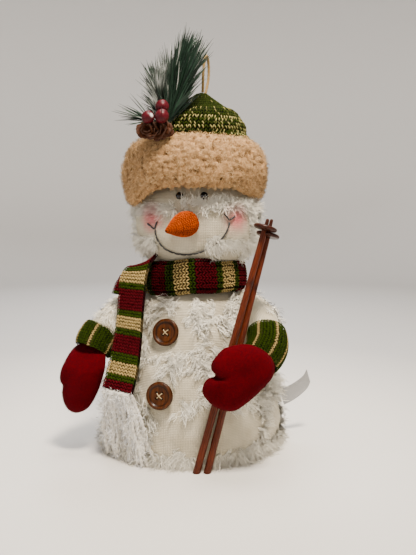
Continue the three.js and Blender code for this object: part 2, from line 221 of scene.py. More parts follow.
def smooth_route(route, count):
    """A Catmull-Rom curve through the points, at evenly spaced steps along its own length."""
    p = np.asarray(route, float)
    p = np.vstack([2 * p[0] - p[1], p, 2 * p[-1] - p[-2]])
    t = np.linspace(0, 1, 24, endpoint=False)[:, None]
    parts = [0.5 * (2 * b + (c - a) * t + (2 * a - 5 * b + 4 * c - d) * t ** 2
                    + (3 * b - a - 3 * c + d) * t ** 3)
             for a, b, c, d in zip(p[:-3], p[1:-2], p[2:-1], p[3:])]
    dense = np.vstack(parts + [p[-2:-1]])
    run = np.concatenate([[0], np.cumsum(np.linalg.norm(np.diff(dense, axis=0), axis=1))])
    want = np.linspace(0, run[-1], count)
    return np.stack([np.interp(want, run, dense[:, i]) for i in range(3)], 1), run[-1]


def unit(vectors):
    """Each vector at length one."""
    return vectors / np.maximum(np.linalg.norm(vectors, axis=-1, keepdims=True), 1e-9)


def shell(name, grid, material, uv=None, tint=None):
    """A closed skin from a grid whose first and last columns meet, and whose end rows are one point."""
    return make_piece(name, grid.reshape(-1, 3), lattice(*grid.shape[:2]), material, uv, tint, merge=0.002)


def waves(points, size, seed, count=7):
    """A smooth random field of about -1 to 1: the sum of count sine waves about size mm long in random
    directions, over 1.4 times the root of count."""
    rng = np.random.default_rng(seed)
    heading = unit(rng.normal(size=(count, 3))) * (2 * pi / size) * rng.uniform(0.7, 1.4, (count, 1))
    phase = rng.uniform(0, 2 * pi, count)
    return np.sin(points @ heading.T + phase).sum(-1) / count ** 0.5 / 1.4


class Skin:
    """A surface held as a grid of points, rows along v and columns along u, both from 0 to 1."""

    def __init__(self, grid):
        self.grid = grid

    def at(self, u, v):
        """The point at u and v, by straight lines between the four nearest grid points."""
        row_count, column_count = self.grid.shape[:2]
        x = np.clip(u, 0, 1) * (column_count - 1)
        y = np.clip(v, 0, 1) * (row_count - 1)
        i, j = np.minimum(y.astype(int), row_count - 2), np.minimum(x.astype(int), column_count - 2)
        a, b = (x - j)[..., None], (y - i)[..., None]
        low, high = (self.grid[k, j] * (1 - a) + self.grid[k, j + 1] * a for k in (i, i + 1))
        return low * (1 - b) + high * b

    def frame(self, u, v):
        """Point, unit direction along u, along v, and outward normal, with mm per unit of u and of v."""
        h = 0.003
        step_u, step_v = (np.clip(w + h, 0, 1) - np.clip(w - h, 0, 1) for w in (u, v))
        du = (self.at(u + h, v) - self.at(u - h, v)) / step_u[..., None]
        dv = (self.at(u, v + h) - self.at(u, v - h)) / step_v[..., None]
        span_u, span_v = np.linalg.norm(du, axis=-1), np.linalg.norm(dv, axis=-1)
        return self.at(u, v), unit(du), unit(dv), unit(np.cross(du, dv)), span_u, span_v


def profile_curve(profile, count):
    """Radius and height evenly spaced along a smooth curve through the (radius, height) pairs."""
    line, _ = smooth_route([(r, z, 0) for r, z in profile], count)
    return np.maximum(line[:, 0], 0), line[:, 1]


def strip_distance(angle_degrees, height):
    """How far, in mm, a point on the body is from the nearest level and upright fringed strip, where an
    angle is worth what it is at the girth radius."""
    level = np.min(np.abs(height[..., None] - np.array((8,) + PANE_TOPS)), -1)
    step = 360 / np.array(PANE_COUNTS)[np.minimum(np.searchsorted(PANE_TOPS, height), 3)]
    off = (angle_degrees - FIRST_STRIP + step / 2) % step - step / 2
    return level, np.abs(off) * pi / 180 * GIRTH_RADIUS


radius, height = profile_curve(BODY_PROFILE, 160)
height = np.maximum(height, BASE_GAP)
azimuth = np.linspace(0, 360, 301)
angle = np.radians(azimuth)
body_grid = spun(radius[:, None], height[:, None], angle)
outward = unit(body_grid * np.array([1, 1, 0.25]))
level, upright = strip_distance(np.repeat(azimuth[None], len(radius), 0), body_grid[..., 2])
belly = 1.2 * (1 - np.exp(-(np.minimum(level, upright) / 9) ** 2)) - 0.8
rumple = 0.9 * waves(body_grid, 46, 1) + 0.6 * waves(body_grid, 17, 2) + 0.2 * waves(body_grid, 8, 3)
hold = np.clip((radius - 20) / 60, 0, 1)[:, None] * np.clip(body_grid[..., 2] / 12, 0, 1)
body_grid = body_grid + outward * ((belly + rumple) * hold)[..., None]
body_grid[..., 2] = np.maximum(body_grid[..., 2], BASE_GAP)
body_skin = Skin(body_grid)


def powdered(tree, place, colour, blush):
    """The colour (node, output) with soft pink rounds at the blush places, each (x, y, z, reach) in metres.
    The pink fades smoothly from its middle to a little past its reach, with a cloudy edge."""
    for x, y, z, reach in blush:
        cloud = node(tree, "ShaderNodeTexNoise", Vector=(place, "Object"), Scale=90.0, Detail=3.0)
        gap = node(tree, "ShaderNodeVectorMath", {"operation": "DISTANCE"}, _0=(place, "Object"),
                   _1=(x, y, z))
        blot = node(tree, "ShaderNodeMath", {"operation": "MULTIPLY_ADD"}, _0=(cloud, "Fac"), _1=reach * 0.6,
                    _2=(gap, "Value"))
        fade = node(tree, "ShaderNodeMapRange", {"interpolation_type": "SMOOTHSTEP"}, Value=(blot, 0),
                    From_Min=reach * 0.25, From_Max=reach * 1.4, To_Min=0.8, To_Max=0.0)
        mixed = node(tree, "ShaderNodeMix", {"data_type": "RGBA"}, _0=(fade, "Result"), _6=colour,
                     _7=linear("cc4256"))
        colour = (mixed, 2)
    return colour


# White windowpane cotton: matt, soft, faintly cream, painted darker between the threads of its weave
# as shade. The weave is drawn at 1.7 mm a thread, coarser than the real 0.6 mm, because a true one
# would not show.
def cloth_material(name, blush=()):
    """Matt white cotton with a plain weave on the UV map, in metres, powdered at the blush places."""
    made, tree, shader = new_material(name, Roughness=0.92, Sheen_Weight=0.08)
    place = node(tree, "ShaderNodeTexCoord")
    warp, weft = (node(tree, "ShaderNodeTexWave", {"bands_direction": way}, Vector=(place, "UV"),
                       Scale=180.0, Distortion=0.5, Detail=1.0) for way in "XY")
    weave = node(tree, "ShaderNodeMath", {"operation": "MULTIPLY"}, _0=(warp, "Fac"), _1=(weft, "Fac"))
    cloud = node(tree, "ShaderNodeTexNoise", Vector=(place, "Object"), Scale=45.0, Detail=4.0)
    tone = node(tree, "ShaderNodeValToRGB", ramp=((0.3, "c4ba9f"), (0.7, "ddd4bc")), Fac=(cloud, "Fac"))
    # Painted shade and highlight: the colour is darker between the threads and lighter where they cross.
    weave_shade = node(tree, "ShaderNodeMath", {"operation": "MULTIPLY_ADD"}, _0=(weave, 0), _1=0.3, _2=0.8)
    woven = node(tree, "ShaderNodeMix", {"data_type": "RGBA", "blend_type": "MULTIPLY"}, _0=1.0,
                 _6=(tone, "Color"), _7=(weave_shade, 0))
    dent = node(tree, "ShaderNodeBump", Strength=0.8, Distance=0.0007, Height=(weave, 0))
    fill_sockets(tree, shader, Base_Color=powdered(tree, place, (woven, 2), blush), Normal=(dent, "Normal"))
    return made


def grid_uv(u, v):
    """A UV map for a grid, from a u for each column and a v for each row."""
    return np.stack(np.broadcast_arrays(u[None, :], v[:, None]), -1)


def skin_uv(grid):
    """A UV map in metres: u by the widest girth and v by the mean length along the columns."""
    girth = np.linalg.norm(np.diff(grid, axis=1), axis=-1).sum(1).max()
    run = np.concatenate([[0], np.cumsum(np.linalg.norm(np.diff(grid, axis=0), axis=-1).mean(1))])
    return grid_uv(np.linspace(0, girth, grid.shape[1]), run) * MM


body_cotton = cloth_material("white windowpane cotton")
body_cloth = shell("body_cloth", body_grid, body_cotton, skin_uv(body_grid))
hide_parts("body")


# Cut cotton floats: fine soft threads, whiter than the ground cloth. A thread is far thinner than its
# shaded side would show, so each is lit mostly as the surface that it lies on, by its lie attribute.
def thread_material(name, dark, light, blush=()):
    """Matt thread, from dark to light with the tint attribute, powdered at the blush places."""
    made, tree, shader = new_material(name, Roughness=0.85, Specular_IOR_Level=0.1)
    tint = node(tree, "ShaderNodeAttribute", {"attribute_name": "tint"})
    tone = node(tree, "ShaderNodeValToRGB", ramp=((0, dark), (1, light)), Fac=(tint, "Fac"))
    place = node(tree, "ShaderNodeTexCoord")
    lie = node(tree, "ShaderNodeAttribute", {"attribute_name": "lie"})
    own = node(tree, "ShaderNodeNewGeometry")
    blend = node(tree, "ShaderNodeMix", {"data_type": "VECTOR"}, _0=0.38, _4=(lie, "Vector"),
                 _5=(own, "Normal"))
    fill_sockets(tree, shader, Base_Color=powdered(tree, place, (tone, "Color"), blush), Normal=(blend, 1))
    return made


float_cotton = thread_material("cut cotton floats", "dcd4bc", "faf6e8")


def thread_lines(root, direction, normal, length, rng, droop=0.25, curl=0.1, steps=5, hug=0.3):
    """Centre lines of loose threads. Each runs from its root along its direction, sags by droop times its
    length, and sways sideways as a slow wave of curl times its length. None dips under the skin by more
    than hug mm."""
    s = np.linspace(0, 1, steps)[None, :, None]
    span = length[:, None, None]
    side = unit(np.cross(direction, normal) + 1e-6)
    phase = rng.uniform(0, 2 * pi, (2, len(root), 1, 1))
    pace = rng.uniform(3, 7, (len(root), 1, 1))
    sway = np.sin(pace * s + phase[0]) - np.sin(phase[0])
    lift = np.sin(pace * s + phase[1]) - np.sin(phase[1])
    line = (root[:, None] + span * (direction[:, None] * s + curl * sway * side[:, None]
                                    + 0.7 * curl * lift * normal[:, None]
                                    - droop * s ** 2 * np.array([0, 0, 1.0])))
    height = np.einsum("nki,ni->nk", line - root[:, None], normal)
    line += np.maximum(hug * s[..., 0] - height, 0)[..., None] * normal[:, None]
    return line


def thread_ribbons(name, line, width, tint, material, rng, lie):
    """Flat ribbons of that width along the lines, lying along the surface whose outward direction lie gives
    for each line, each tilted a little at random and narrowing to its tip."""
    count, steps = line.shape[:2]
    tangent = unit(np.gradient(line, axis=1))
    side = unit(np.cross(tangent, unit(lie[:, None] + 0.35 * rng.normal(size=(count, 1, 3)))))
    half = width / 2 * np.linspace(1, 0.45, steps)[None, :, None]
    points = np.stack([line - side * half, line + side * half], 2).reshape(-1, 3)
    step = (np.arange(count)[:, None] * steps + np.arange(steps - 1)).ravel() * 2
    faces = np.stack([step, step + 1, step + 3, step + 2], 1)
    return make_piece(name, points, faces, material, tint=np.repeat(tint, steps * 2),
                      lie=np.repeat(lie, steps * 2, 0))


def bare_places(places, spots, lines):
    """Which places are within reach of a spot (x, y, z, reach) or of a line (one end, other end, reach)."""
    near = np.zeros(len(places), bool)
    for x, y, z, reach in spots:
        near |= np.linalg.norm(places - [x, y, z], axis=1) < reach
    for start, end, reach in lines:
        way = np.subtract(end, start)
        share = np.clip((places - start) @ way / (way @ way), 0, 1)
        near |= np.linalg.norm(places - start - share[:, None] * way, axis=1) < reach
    return near


def fringe(name, skin, u, v, lean, length, material, rng, rise, per_tuft, spread, droop, tone, width):
    """Threads in tufts rooted on a skin at u and v. Each tuft leans by lean (along u, along v) and by rise
    away from the skin, and its threads spread at random round that. tone is their mean tint. All stay
    above the table."""
    root, along_u, along_v, normal, _, _ = skin.frame(u, v)
    heading = along_u * lean[0][:, None] + along_v * lean[1][:, None] + normal * rise
    root, heading, normal, length, along_u, along_v = (
        np.repeat(a, per_tuft, 0) for a in (root, heading, normal, length, along_u, along_v))
    count = len(root)
    root = root + (along_u * rng.normal(0, 1.0, (count, 1)) + along_v * rng.normal(0, 1.0, (count, 1)))
    direction = unit(heading + spread * rng.normal(size=heading.shape))
    facing = np.einsum("ni,ni->n", direction, normal)
    direction = unit(direction + np.maximum(0.12 - facing, 0)[:, None] * normal)
    length = length * rng.uniform(0.6, 1.15, count)
    line = thread_lines(root, direction, normal, length, rng, droop=droop)
    line[..., 2] = np.maximum(line[..., 2], TABLE_GAP)
    tint = np.clip(rng.normal(tone, 0.2, count), 0, 1)
    return thread_ribbons(name, line, width, tint, material, rng, normal)


FLOAT_LENGTH = 14
TABLE_GAP = 0.5  # threads keep this far above the table
BUTTON_SPOTS = ((-6, -75, 136.5, 25), (-4, -101, 76, 23))  # no floats stand through the buttons
POLE_LINES = (((36.4, -104, 2.5), (66, -76, 128), 13), ((46.8, -100.8, 2.5), (72, -70, 128), 13))
rng = np.random.default_rng(11)
body_rows = np.linspace(0, 1, 160)
side_rows = np.where((radius > 42) & (body_rows > 0.2))[0]


def height_to_v(z):
    """v on the body's skin for a height on its side."""
    return np.interp(z, body_grid[side_rows, 0, 2], body_rows[side_rows])


level_roots = [(rng.uniform(0, 1, count), z + rng.normal(0, 5.0, count))
               for z, count in zip((9, 66, 113, 148), (420, 400, 360, 260))]
u_level = np.concatenate([roots[0] for roots in level_roots])
z_level = np.clip(np.concatenate([roots[1] for roots in level_roots]), 4, 168)
upright_tufts = 1300
z_up = rng.uniform(6, 168, upright_tufts)
strips_round = np.array(PANE_COUNTS)[np.minimum(np.searchsorted(PANE_TOPS, z_up), 3)]
strip_pick = (rng.uniform(0, 1, upright_tufts) * strips_round).astype(int)
u_up = ((FIRST_STRIP + 360 / strips_round * strip_pick + rng.normal(0, 3.0, upright_tufts)) / 360) % 1
for label, u, z, lean_u, lean_v in (
        ("level", u_level, z_level, rng.normal(0, 0.7, len(u_level)), rng.normal(-0.5, 0.6, len(u_level))),
        ("upright", u_up, z_up, rng.choice([-0.9, 0.9], len(u_up)), rng.normal(-0.2, 0.6, len(u_up)))):
    span = FLOAT_LENGTH * rng.uniform(0.5, 1.2, len(u))
    kept = ~bare_places(body_skin.frame(u, height_to_v(z))[0], BUTTON_SPOTS, POLE_LINES)
    u, z, lean_u, lean_v, span = (values[kept] for values in (u, z, lean_u, lean_v, span))
    piece = fringe(f"body_fringe_{label}", body_skin, u, height_to_v(z), (lean_u, lean_v), span, float_cotton,
                   rng, rise=0.55, per_tuft=12, spread=0.2, droop=0.15, tone=0.7, width=0.7)

# Hem: the raw bottom edge of the cloth, frayed into a fringe that reaches the table.
hem_count = 5200
u = rng.uniform(0, 1, hem_count)
root, _, along_v, normal, _, _ = body_skin.frame(u, height_to_v(rng.uniform(4, 13, hem_count)))
direction = unit(along_v * -1.0 + normal * rng.uniform(0.15, 0.7, (hem_count, 1))
                 + 0.3 * rng.normal(size=root.shape))
line = thread_lines(root, direction, normal, rng.uniform(9, 20, hem_count), rng, droop=0.1)
line[..., 2] = np.maximum(line[..., 2], TABLE_GAP)
tint = np.clip(rng.normal(0.7, 0.2, hem_count), 0, 1)
hem_fringe = thread_ribbons("hem_fringe", line, 0.6, tint, float_cotton, rng, normal)

# ---------------------------------------------------------------------------------------------
# Head: a wide round form of the same cloth and stuffing, sewn to the body under the scarf. The
# brow is smooth; cut floats cross the cheeks in two level strips and stand in upright strips.
# The cheeks are dabbed with pink powder.
# ---------------------------------------------------------------------------------------------
HEAD_CENTRE = np.array([5.7, 1.8, 248.0])
HEAD_HALF = np.array([69.0, 57.0, 56.0])
HEAD_SQUARENESS = 2.3
HEAD_TURN = radians(9)


def on_head(azimuth_degrees, elevation_degrees, out=0.0):
    """The point of the rounded-box head in a direction, out mm proud of it: the unit direction divided by
    the root sum of its parts to the power of the squareness, times the half sizes, turned with the head."""
    a, e = np.radians(azimuth_degrees), np.radians(elevation_degrees)
    p = np.stack(np.broadcast_arrays(np.sin(a) * np.cos(e), -np.cos(a) * np.cos(e), np.sin(e)), -1)
    p = p / (np.abs(p) ** HEAD_SQUARENESS).sum(-1, keepdims=True) ** (1 / HEAD_SQUARENESS)
    p = p * (HEAD_HALF + np.asarray(out)[..., None])
    c, s = cos(HEAD_TURN), sin(HEAD_TURN)
    return p @ np.array([[c, s, 0], [-s, c, 0], [0, 0, 1]]) + HEAD_CENTRE


head_azimuth, head_elevation = np.meshgrid(np.linspace(-180, 180, 251), np.linspace(-90, 90, 126))
base = on_head(head_azimuth, head_elevation)
taper = np.cos(np.radians(head_elevation)) ** 0.5
rumple = (0.7 * waves(base, 42, 5) + 0.3 * waves(base, 13, 6)) * taper - 0.3
head_grid = on_head(head_azimuth, head_elevation, rumple)
head_skin = Skin(head_grid)
cheeks = [(*(on_head(a, e, 0.0) * MM), 0.02) for a, e in ((-37, 7), (42, 5.5))]
face_cotton = cloth_material("white cotton with powdered cheeks", cheeks)
head_cloth = shell("head_cloth", head_grid, face_cotton, skin_uv(head_grid))
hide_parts("head")

rng = np.random.default_rng(21)
# Each strip of floats on the head: azimuth from and to, elevation from and to, tufts, and how the
# threads lean along the azimuth and the elevation.
HEAD_STRIPS = [
    (-88, -16, 13, 22, 250, -0.4, -0.5), (9, 92, 16, 24, 230, 0.1, 0.1), (-10, 40, 18, 26, 60, 0.3, 0.4),
    (92, 274, 8, 22, 260, 0.0, -0.6),
    (-88, -33, -25, -14, 170, -0.3, -0.5), (14, 88, -24, -16, 130, 0.4, -0.4),
    (88, 272, -28, -16, 260, 0, -0.5),
    (-78, -66, -60, 20, 130, -0.8, -0.3), (19, 25, -56, -10, 30, 0.5, -0.5),
    (58, 67, -60, 22, 110, 0.8, -0.3),
    (104, 114, -60, 30, 110, 0.7, -0.4), (148, 158, -60, 30, 110, 0.7, -0.4),
    (192, 202, -60, 30, 110, -0.7, -0.4), (236, 246, -60, 30, 110, -0.7, -0.4),
]
parts = [(rng.uniform(a0, a1, n), rng.uniform(e0, e1, n), np.full(n, lu), np.full(n, lv))
         for a0, a1, e0, e1, n, lu, lv in HEAD_STRIPS]
tuft_azimuth, tuft_elevation, lean_u, lean_v = (np.concatenate([p[i] for p in parts]) for i in range(4))
u = ((tuft_azimuth + 180) % 360) / 360
v = (tuft_elevation + 90) / 180
lean_u = lean_u + rng.normal(0, 0.45, len(u))
lean_v = lean_v + rng.normal(0, 0.4, len(u))
span = 10 * rng.uniform(0.5, 1.2, len(u))
cheek_cotton = thread_material("cut cotton floats with powder", "dcd4bc", "faf6e8", blush=cheeks)
head_fringe = fringe("head_fringe", head_skin, u, v, (lean_u, lean_v), span, cheek_cotton, rng,
                     rise=0.5, per_tuft=8, spread=0.22, droop=0.12, tone=0.75, width=0.6)

# ---------------------------------------------------------------------------------------------
# Face: two black bead eyes sewn on, a carrot nose of fine orange knit over stuffing, and a smile
# and cheek ticks in black stranded cotton, worked as a line of back stitches.
# ---------------------------------------------------------------------------------------------
NOSE_BASE, NOSE_TIP = np.array([13.6, -53, 250.5]), np.array([1.8, -95.6, 243.2])
NOSE_LENGTH = float(np.linalg.norm(NOSE_TIP - NOSE_BASE))
NOSE_PROFILE = [(0, 0), (10.5, 0.3), (12, 4), (12.3, 9), (11.2, 16), (8.8, 24), (6, 32), (3.8, 38),
                (2.1, NOSE_LENGTH - 2.2), (0, NOSE_LENGTH)]
SMILE_ROUTE = [(-32, -5), (-31.5, -11), (-29.5, -18), (-24.5, -25.5), (-15.5, -30.5), (-4.5, -32.3),
               (7.5, -29.8), (20, -22), (28.5, -12.5), (32.8, -3), (34, 3)]


def lathe(profile, at, towards, count, around):
    """A turned form as a grid: the smooth profile of (radius, height) pairs, spun about the line from one
    place along a direction. Rows run up the axis and columns round it."""
    reach, height = profile_curve(profile, count)
    axis = unit(np.asarray(towards, float))
    first = unit(np.cross([0.31, 0.2, 1], axis))
    second = np.cross(axis, first)
    turn = np.linspace(0, 2 * pi, around + 1)
    spoke = np.cos(turn)[:, None] * first + np.sin(turn)[:, None] * second
    return np.asarray(at, float) + reach[:, None, None] * spoke + height[:, None, None] * axis


def along_path(line):
    """Tangent and two side directions at each point of a line, carried along it without twisting."""
    tangent = unit(np.gradient(line, axis=0))
    side = unit(np.cross(tangent[0], [0.3, 1, 0.2]))
    sides = []
    for t in tangent:
        side = unit(side - t * (side @ t))
        sides.append(side)
    sides = np.array(sides)
    return tangent, sides, np.cross(tangent, sides)


def tube_grid(line, reach, around):
    """A tube about a line: line + reach (cos t first + sin t second), where first and second are the side
    directions of along_path. reach is one value, or a row for each point of the line."""
    _, first, second = along_path(line)
    turn = np.linspace(0, 2 * pi, around + 1)[None, :, None]
    reach = np.broadcast_to(reach, (len(line), around + 1))[..., None]
    return line[:, None] + reach * (np.cos(turn) * first[:, None] + np.sin(turn) * second[:, None])


def rope(line, radius, plies, lay_length, around=14):
    """A laid rope: a tube whose radius swells and dips once for each ply, where the dips turn once round
    the line in each lay length."""
    run = np.concatenate([[0], np.cumsum(np.linalg.norm(np.diff(line, axis=0), axis=1))])
    turn = np.linspace(0, 2 * pi, around + 1)
    swell = 0.8 + 0.2 * np.abs(np.cos(plies / 2 * (turn - 2 * pi * run[:, None] / lay_length)))
    return tube_grid(line, np.reshape(radius, (-1, 1)) * swell, around)


def capped(grid):
    """The grid with one more row at each end, drawn in to the middle of that end, so that it closes."""
    foot, head = (np.broadcast_to(row[:-1].mean(0), (1, *row.shape)) for row in (grid[0], grid[-1]))
    return np.concatenate([foot, grid, head])


def flecked_material(name, dark, light, scale, detail=2.0, bump=0.0, depth=0.0005, dust=None, **surface):
    """A surface whose colour runs from dark to light with a fine noise. The noise also dents it, by bump,
    depth metres deep, and the dust colour, if any, covers it by the tint attribute."""
    made, tree, shader = new_material(name, **surface)
    place = node(tree, "ShaderNodeTexCoord")
    fleck = node(tree, "ShaderNodeTexNoise", Vector=(place, "Object"), Scale=scale, Detail=detail)
    tone = node(tree, "ShaderNodeValToRGB", ramp=((0, dark), (1, light)), Fac=(fleck, "Fac"))
    colour = (tone, "Color")
    if dust:
        tint = node(tree, "ShaderNodeAttribute", {"attribute_name": "tint"})
        dusted = node(tree, "ShaderNodeMix", {"data_type": "RGBA"}, _0=(tint, "Fac"), _6=colour,
                      _7=linear(dust))
        colour = (dusted, 2)
    fill_sockets(tree, shader, Base_Color=colour)
    if bump:
        dent = node(tree, "ShaderNodeBump", Strength=bump, Distance=depth, Height=(fleck, "Fac"))
        fill_sockets(tree, shader, Normal=(dent, "Normal"))
    return made


# Black bead: hard and smooth, so it carries one small bright spark of the key light.
bead_black = flecked_material("black bead", "030303", "0c0c0e", 700.0, Roughness=0.18, Coat_Weight=0.25,
                              Coat_Roughness=0.05)
BEAD_PROFILE = [(0, -3.9), (2.9, -2.8), (4.1, 0), (3.7, 2.1), (2.0, 3.6), (0, 3.9)]
for name, azimuth in (("eye_right", -11), ("eye_left", 13)):
    at = on_head(azimuth, 31, 0.6)
    bead = shell(f"{name}_bead", lathe(BEAD_PROFILE, at, at - HEAD_CENTRE, 26, 32), bead_black)
    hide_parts(name)

# Stranded cotton: near black with a soft gleam.
floss_cotton = flecked_material("black stranded cotton", "020203", "0d0d11", 1500.0, Roughness=0.5,
                                Sheen_Weight=0.4)
CHEEK_ROUTES = {
    "cheek_stitch_right": [[(-41, 1.2), (-37, -1.6), (-33, -4.4)],
                           [(-29.8, 3.4), (-31.2, -0.5), (-32.6, -4.6)]],
    "cheek_stitch_left": [[(29.8, 11.4), (31.8, 8.2), (33.8, 5)], [(40.2, 9.4), (37.2, 7.1), (34.2, 4.8)]],
}
for name, routes in {"smile_stitch": [SMILE_ROUTE], **CHEEK_ROUTES}.items():
    for index, route in enumerate(routes):
        line, length = smooth_route([on_head(a, e, 1.3) for a, e in route], 200 if len(route) > 3 else 24)
        stitch_count = max(1, round(length / 7))
        dip = np.abs(np.cos(pi * stitch_count * np.linspace(0, 1, len(line)))) ** 14
        line = line - 0.9 * dip[:, None] * unit(line - HEAD_CENTRE)
        grid = rope(line, 1.0 - 0.3 * dip, 3, 4.0, around=12)
        piece = shell(f"{name}_{index}", capped(grid), floss_cotton)
        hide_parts(name)


# Marled and striped yarn: the tint attribute gives each stitch its own dye, and fine plies turn
# round the yarn at a slant, which breaks up the light like spun acrylic. The plies are painted
# darker in their grooves as shade, with a random fleck.
def yarn_material(name, ply_scale, depth=1.0, strength=0.5):
    """Dry knitting yarn coloured by the tint attribute, times depth, with slanting plies on its UV map that
    are painted darker in their grooves as shade. A depth below one paints the whole yarn as shade.
    """
    made, tree, shader = new_material(name, Roughness=0.9, Specular_IOR_Level=0.08)
    tint = node(tree, "ShaderNodeAttribute", {"attribute_name": "tint"})
    place = node(tree, "ShaderNodeTexCoord")
    ply = node(tree, "ShaderNodeTexWave", {"bands_direction": "DIAGONAL"}, Vector=(place, "UV"),
               Scale=ply_scale, Distortion=1.5, Detail=2.0)
    fleck = node(tree, "ShaderNodeTexNoise", Vector=(place, "Object"), Scale=1100.0, Detail=3.0)
    mixed = node(tree, "ShaderNodeMath", {"operation": "MULTIPLY_ADD"}, _0=(ply, "Fac"), _1=0.4, _2=0.6)
    # Painted shade in the ply grooves, plus a random fleck.
    ply_shade_and_fleck = node(tree, "ShaderNodeMath", {"operation": "MULTIPLY_ADD"}, _0=(fleck, "Fac"), _1=0.5,
                _2=(mixed, 0))
    shade = node(tree, "ShaderNodeMath", {"operation": "MULTIPLY"}, _0=(ply_shade_and_fleck, 0), _1=depth)
    colour = node(tree, "ShaderNodeMix", {"data_type": "RGBA", "blend_type": "MULTIPLY"}, _0=1.0,
                  _6=(tint, "Color"), _7=(shade, 0))
    dent = node(tree, "ShaderNodeBump", Strength=strength, Distance=0.0003, Height=(ply, "Fac"))
    fill_sockets(tree, shader, Base_Color=(colour, 2), Normal=(dent, "Normal"))
    return made


STITCH_RINGS, RING_POINTS = 5, 6  # rings of points along one leg of a stitch, and points in a ring
LEG_POINTS = STITCH_RINGS * RING_POINTS + 2


def stitch_form():
    """One plain stitch: the centre line (across, up, out, in stitches), the offset round it (in stitch
    widths), the UV and the faces of two legs of yarn, each closed to a point at both ends, and the painted
    shade of each point: dark where the yarn dives under its neighbours and on its underside, and lighter
    than its dye on its outer top as a painted highlight."""
    line, _ = smooth_route([(0.02, -0.62, -0.3), (0.13, -0.3, 0.08), (0.36, 0.24, 0.14), (0.45, 0.58, -0.3)],
                           STITCH_RINGS)
    reach = 0.155 * np.array([0.7, 1.0, 1.1, 1.0, 0.7])
    offset = tube_grid(line, reach[:, None], RING_POINTS)[:, :-1] - line[:, None]
    centre = np.concatenate([line[:1], np.repeat(line, RING_POINTS, 0), line[-1:]])
    offset = np.concatenate([np.zeros((1, 3)), offset.reshape(-1, 3), np.zeros((1, 3))])
    turn = np.linspace(0, 2 * pi, RING_POINTS + 1)[:-1]
    uv = grid_uv(turn / 6.3, np.linspace(0, 2, STITCH_RINGS)).reshape(-1, 2)
    uv = np.concatenate([[[0, 0]], uv, [[0, 2]]])
    ring = np.arange(RING_POINTS)
    after = (ring + 1) % RING_POINTS
    last_ring = LEG_POINTS - 1 - RING_POINTS
    faces = [np.stack([0 * ring, 1 + after, 1 + ring], 1)]
    for low in range(1, last_ring, RING_POINTS):
        high = low + RING_POINTS
        faces += [np.stack([low + ring, low + after, high + after], 1),
                  np.stack([low + ring, high + after, high + ring], 1)]
    faces += [np.stack([last_ring + ring, last_ring + after, 0 * ring + LEG_POINTS - 1], 1)]
    faces = np.concatenate(faces)
    mirror = np.array([-1, 1, 1])
    # Painted shade and highlight along each leg and round it.
    shade = np.concatenate([[0.1], np.repeat([0.25, 0.95, 1.25, 0.8, 0.15], RING_POINTS), [0.1]])
    shade = shade * np.clip(0.55 + 4.5 * offset[:, 2], 0.1, 1.25)
    return (np.concatenate([centre, centre * mirror]), np.concatenate([offset, offset * mirror]),
            np.concatenate([uv, uv * [-1, 1]]), np.concatenate([faces, LEG_POINTS + faces[:, ::-1]]),
            np.tile(shade, 2))


STITCH_CENTRE, STITCH_OFFSET, STITCH_UV, STITCH_FACES, STITCH_PAINTED_LIGHT = stitch_form()


def knit(name, skin, columns, rows, dyes, material, rng, lift=0.35, skip=None):
    """Plain knitting over a skin: columns stitches across its u and rows up its v, each pair of legs laid
    in the frame of its own place. dyes is (rows, columns, 2, 3), a colour for each leg. Stitches where
    skip(u, v) is true are left out."""
    i, j = np.meshgrid(np.arange(columns), np.arange(rows))
    i, j = i.ravel(), j.ravel()
    if skip is not None:
        kept = ~skip((i + 0.5) / columns, (j + 0.5) / rows)
        i, j = i[kept], j[kept]
    place, along_u, along_v, normal, span_u, span_v = skin.frame((i + 0.5) / columns, (j + 0.5) / rows)
    wide, tall = span_u / columns, span_v / rows
    thick = np.minimum(wide, 1.4 * tall)
    jog = 1 + 0.07 * rng.normal(size=(2, len(i)))
    shift = 0.05 * rng.normal(size=(2, len(i)))
    across, up = (STITCH_CENTRE[:, k] * (pitch * jog[k])[:, None] + STITCH_OFFSET[:, k] * thick[:, None]
                  + (shift[k] * pitch)[:, None] for k, pitch in enumerate((wide, tall)))
    out = (STITCH_CENTRE[:, 2] + STITCH_OFFSET[:, 2] + lift) * thick[:, None]
    points = (place[:, None] + across[..., None] * along_u[:, None] + up[..., None] * along_v[:, None]
              + out[..., None] * normal[:, None]).reshape(-1, 3)
    faces = (STITCH_FACES + 2 * LEG_POINTS * np.arange(len(i))[:, None, None]).reshape(-1, 3)
    # Each leg's dye times the painted shade and highlight of the stitch form.
    tint = (np.repeat(dyes[j, i], LEG_POINTS, axis=1) * STITCH_PAINTED_LIGHT[:, None]).reshape(-1, 3)
    uv = np.tile(STITCH_UV, (len(i), 1)) + np.repeat(rng.uniform(0, 9, (len(i), 1)), 2 * LEG_POINTS, 0)
    return make_piece(name, points, faces, material, uv, tint)


def dye(colour):
    """A linear RGB array from an sRGB hex."""
    return np.array(linear(colour)[:3])


# Fine orange knit: soft, dry, with darker grooves between its small stitches.
carrot_yarn = yarn_material("fine orange knit", 9.0)
# The nose's skin under the stitches is the same yarn painted dark, as the shade between them.
carrot_shadow = yarn_material("orange yarn in painted shade between the stitches", 9.0, depth=0.12)
NOSE_ORANGE, NOSE_RUST = dye("b84a00"), dye("7c2e00")
NOSE_COLUMNS, NOSE_ROWS = 22, 17
rng = np.random.default_rng(23)
nose_grid = lathe(NOSE_PROFILE, NOSE_BASE, NOSE_TIP - NOSE_BASE, 120, 96)
carrot = shell("carrot_nose", nose_grid, carrot_shadow, skin_uv(nose_grid),
               np.broadcast_to(NOSE_ORANGE, nose_grid.shape))
carrot_blend = rng.uniform(0.5, 1, (NOSE_ROWS, NOSE_COLUMNS, 2, 1))
carrot_dyes = NOSE_ORANGE * carrot_blend + NOSE_RUST * (1 - carrot_blend)
carrot_stitches = knit("carrot_stitches", Skin(nose_grid[14:118]), NOSE_COLUMNS, NOSE_ROWS, carrot_dyes,
                       carrot_yarn, rng, lift=0.05)
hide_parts("nose")

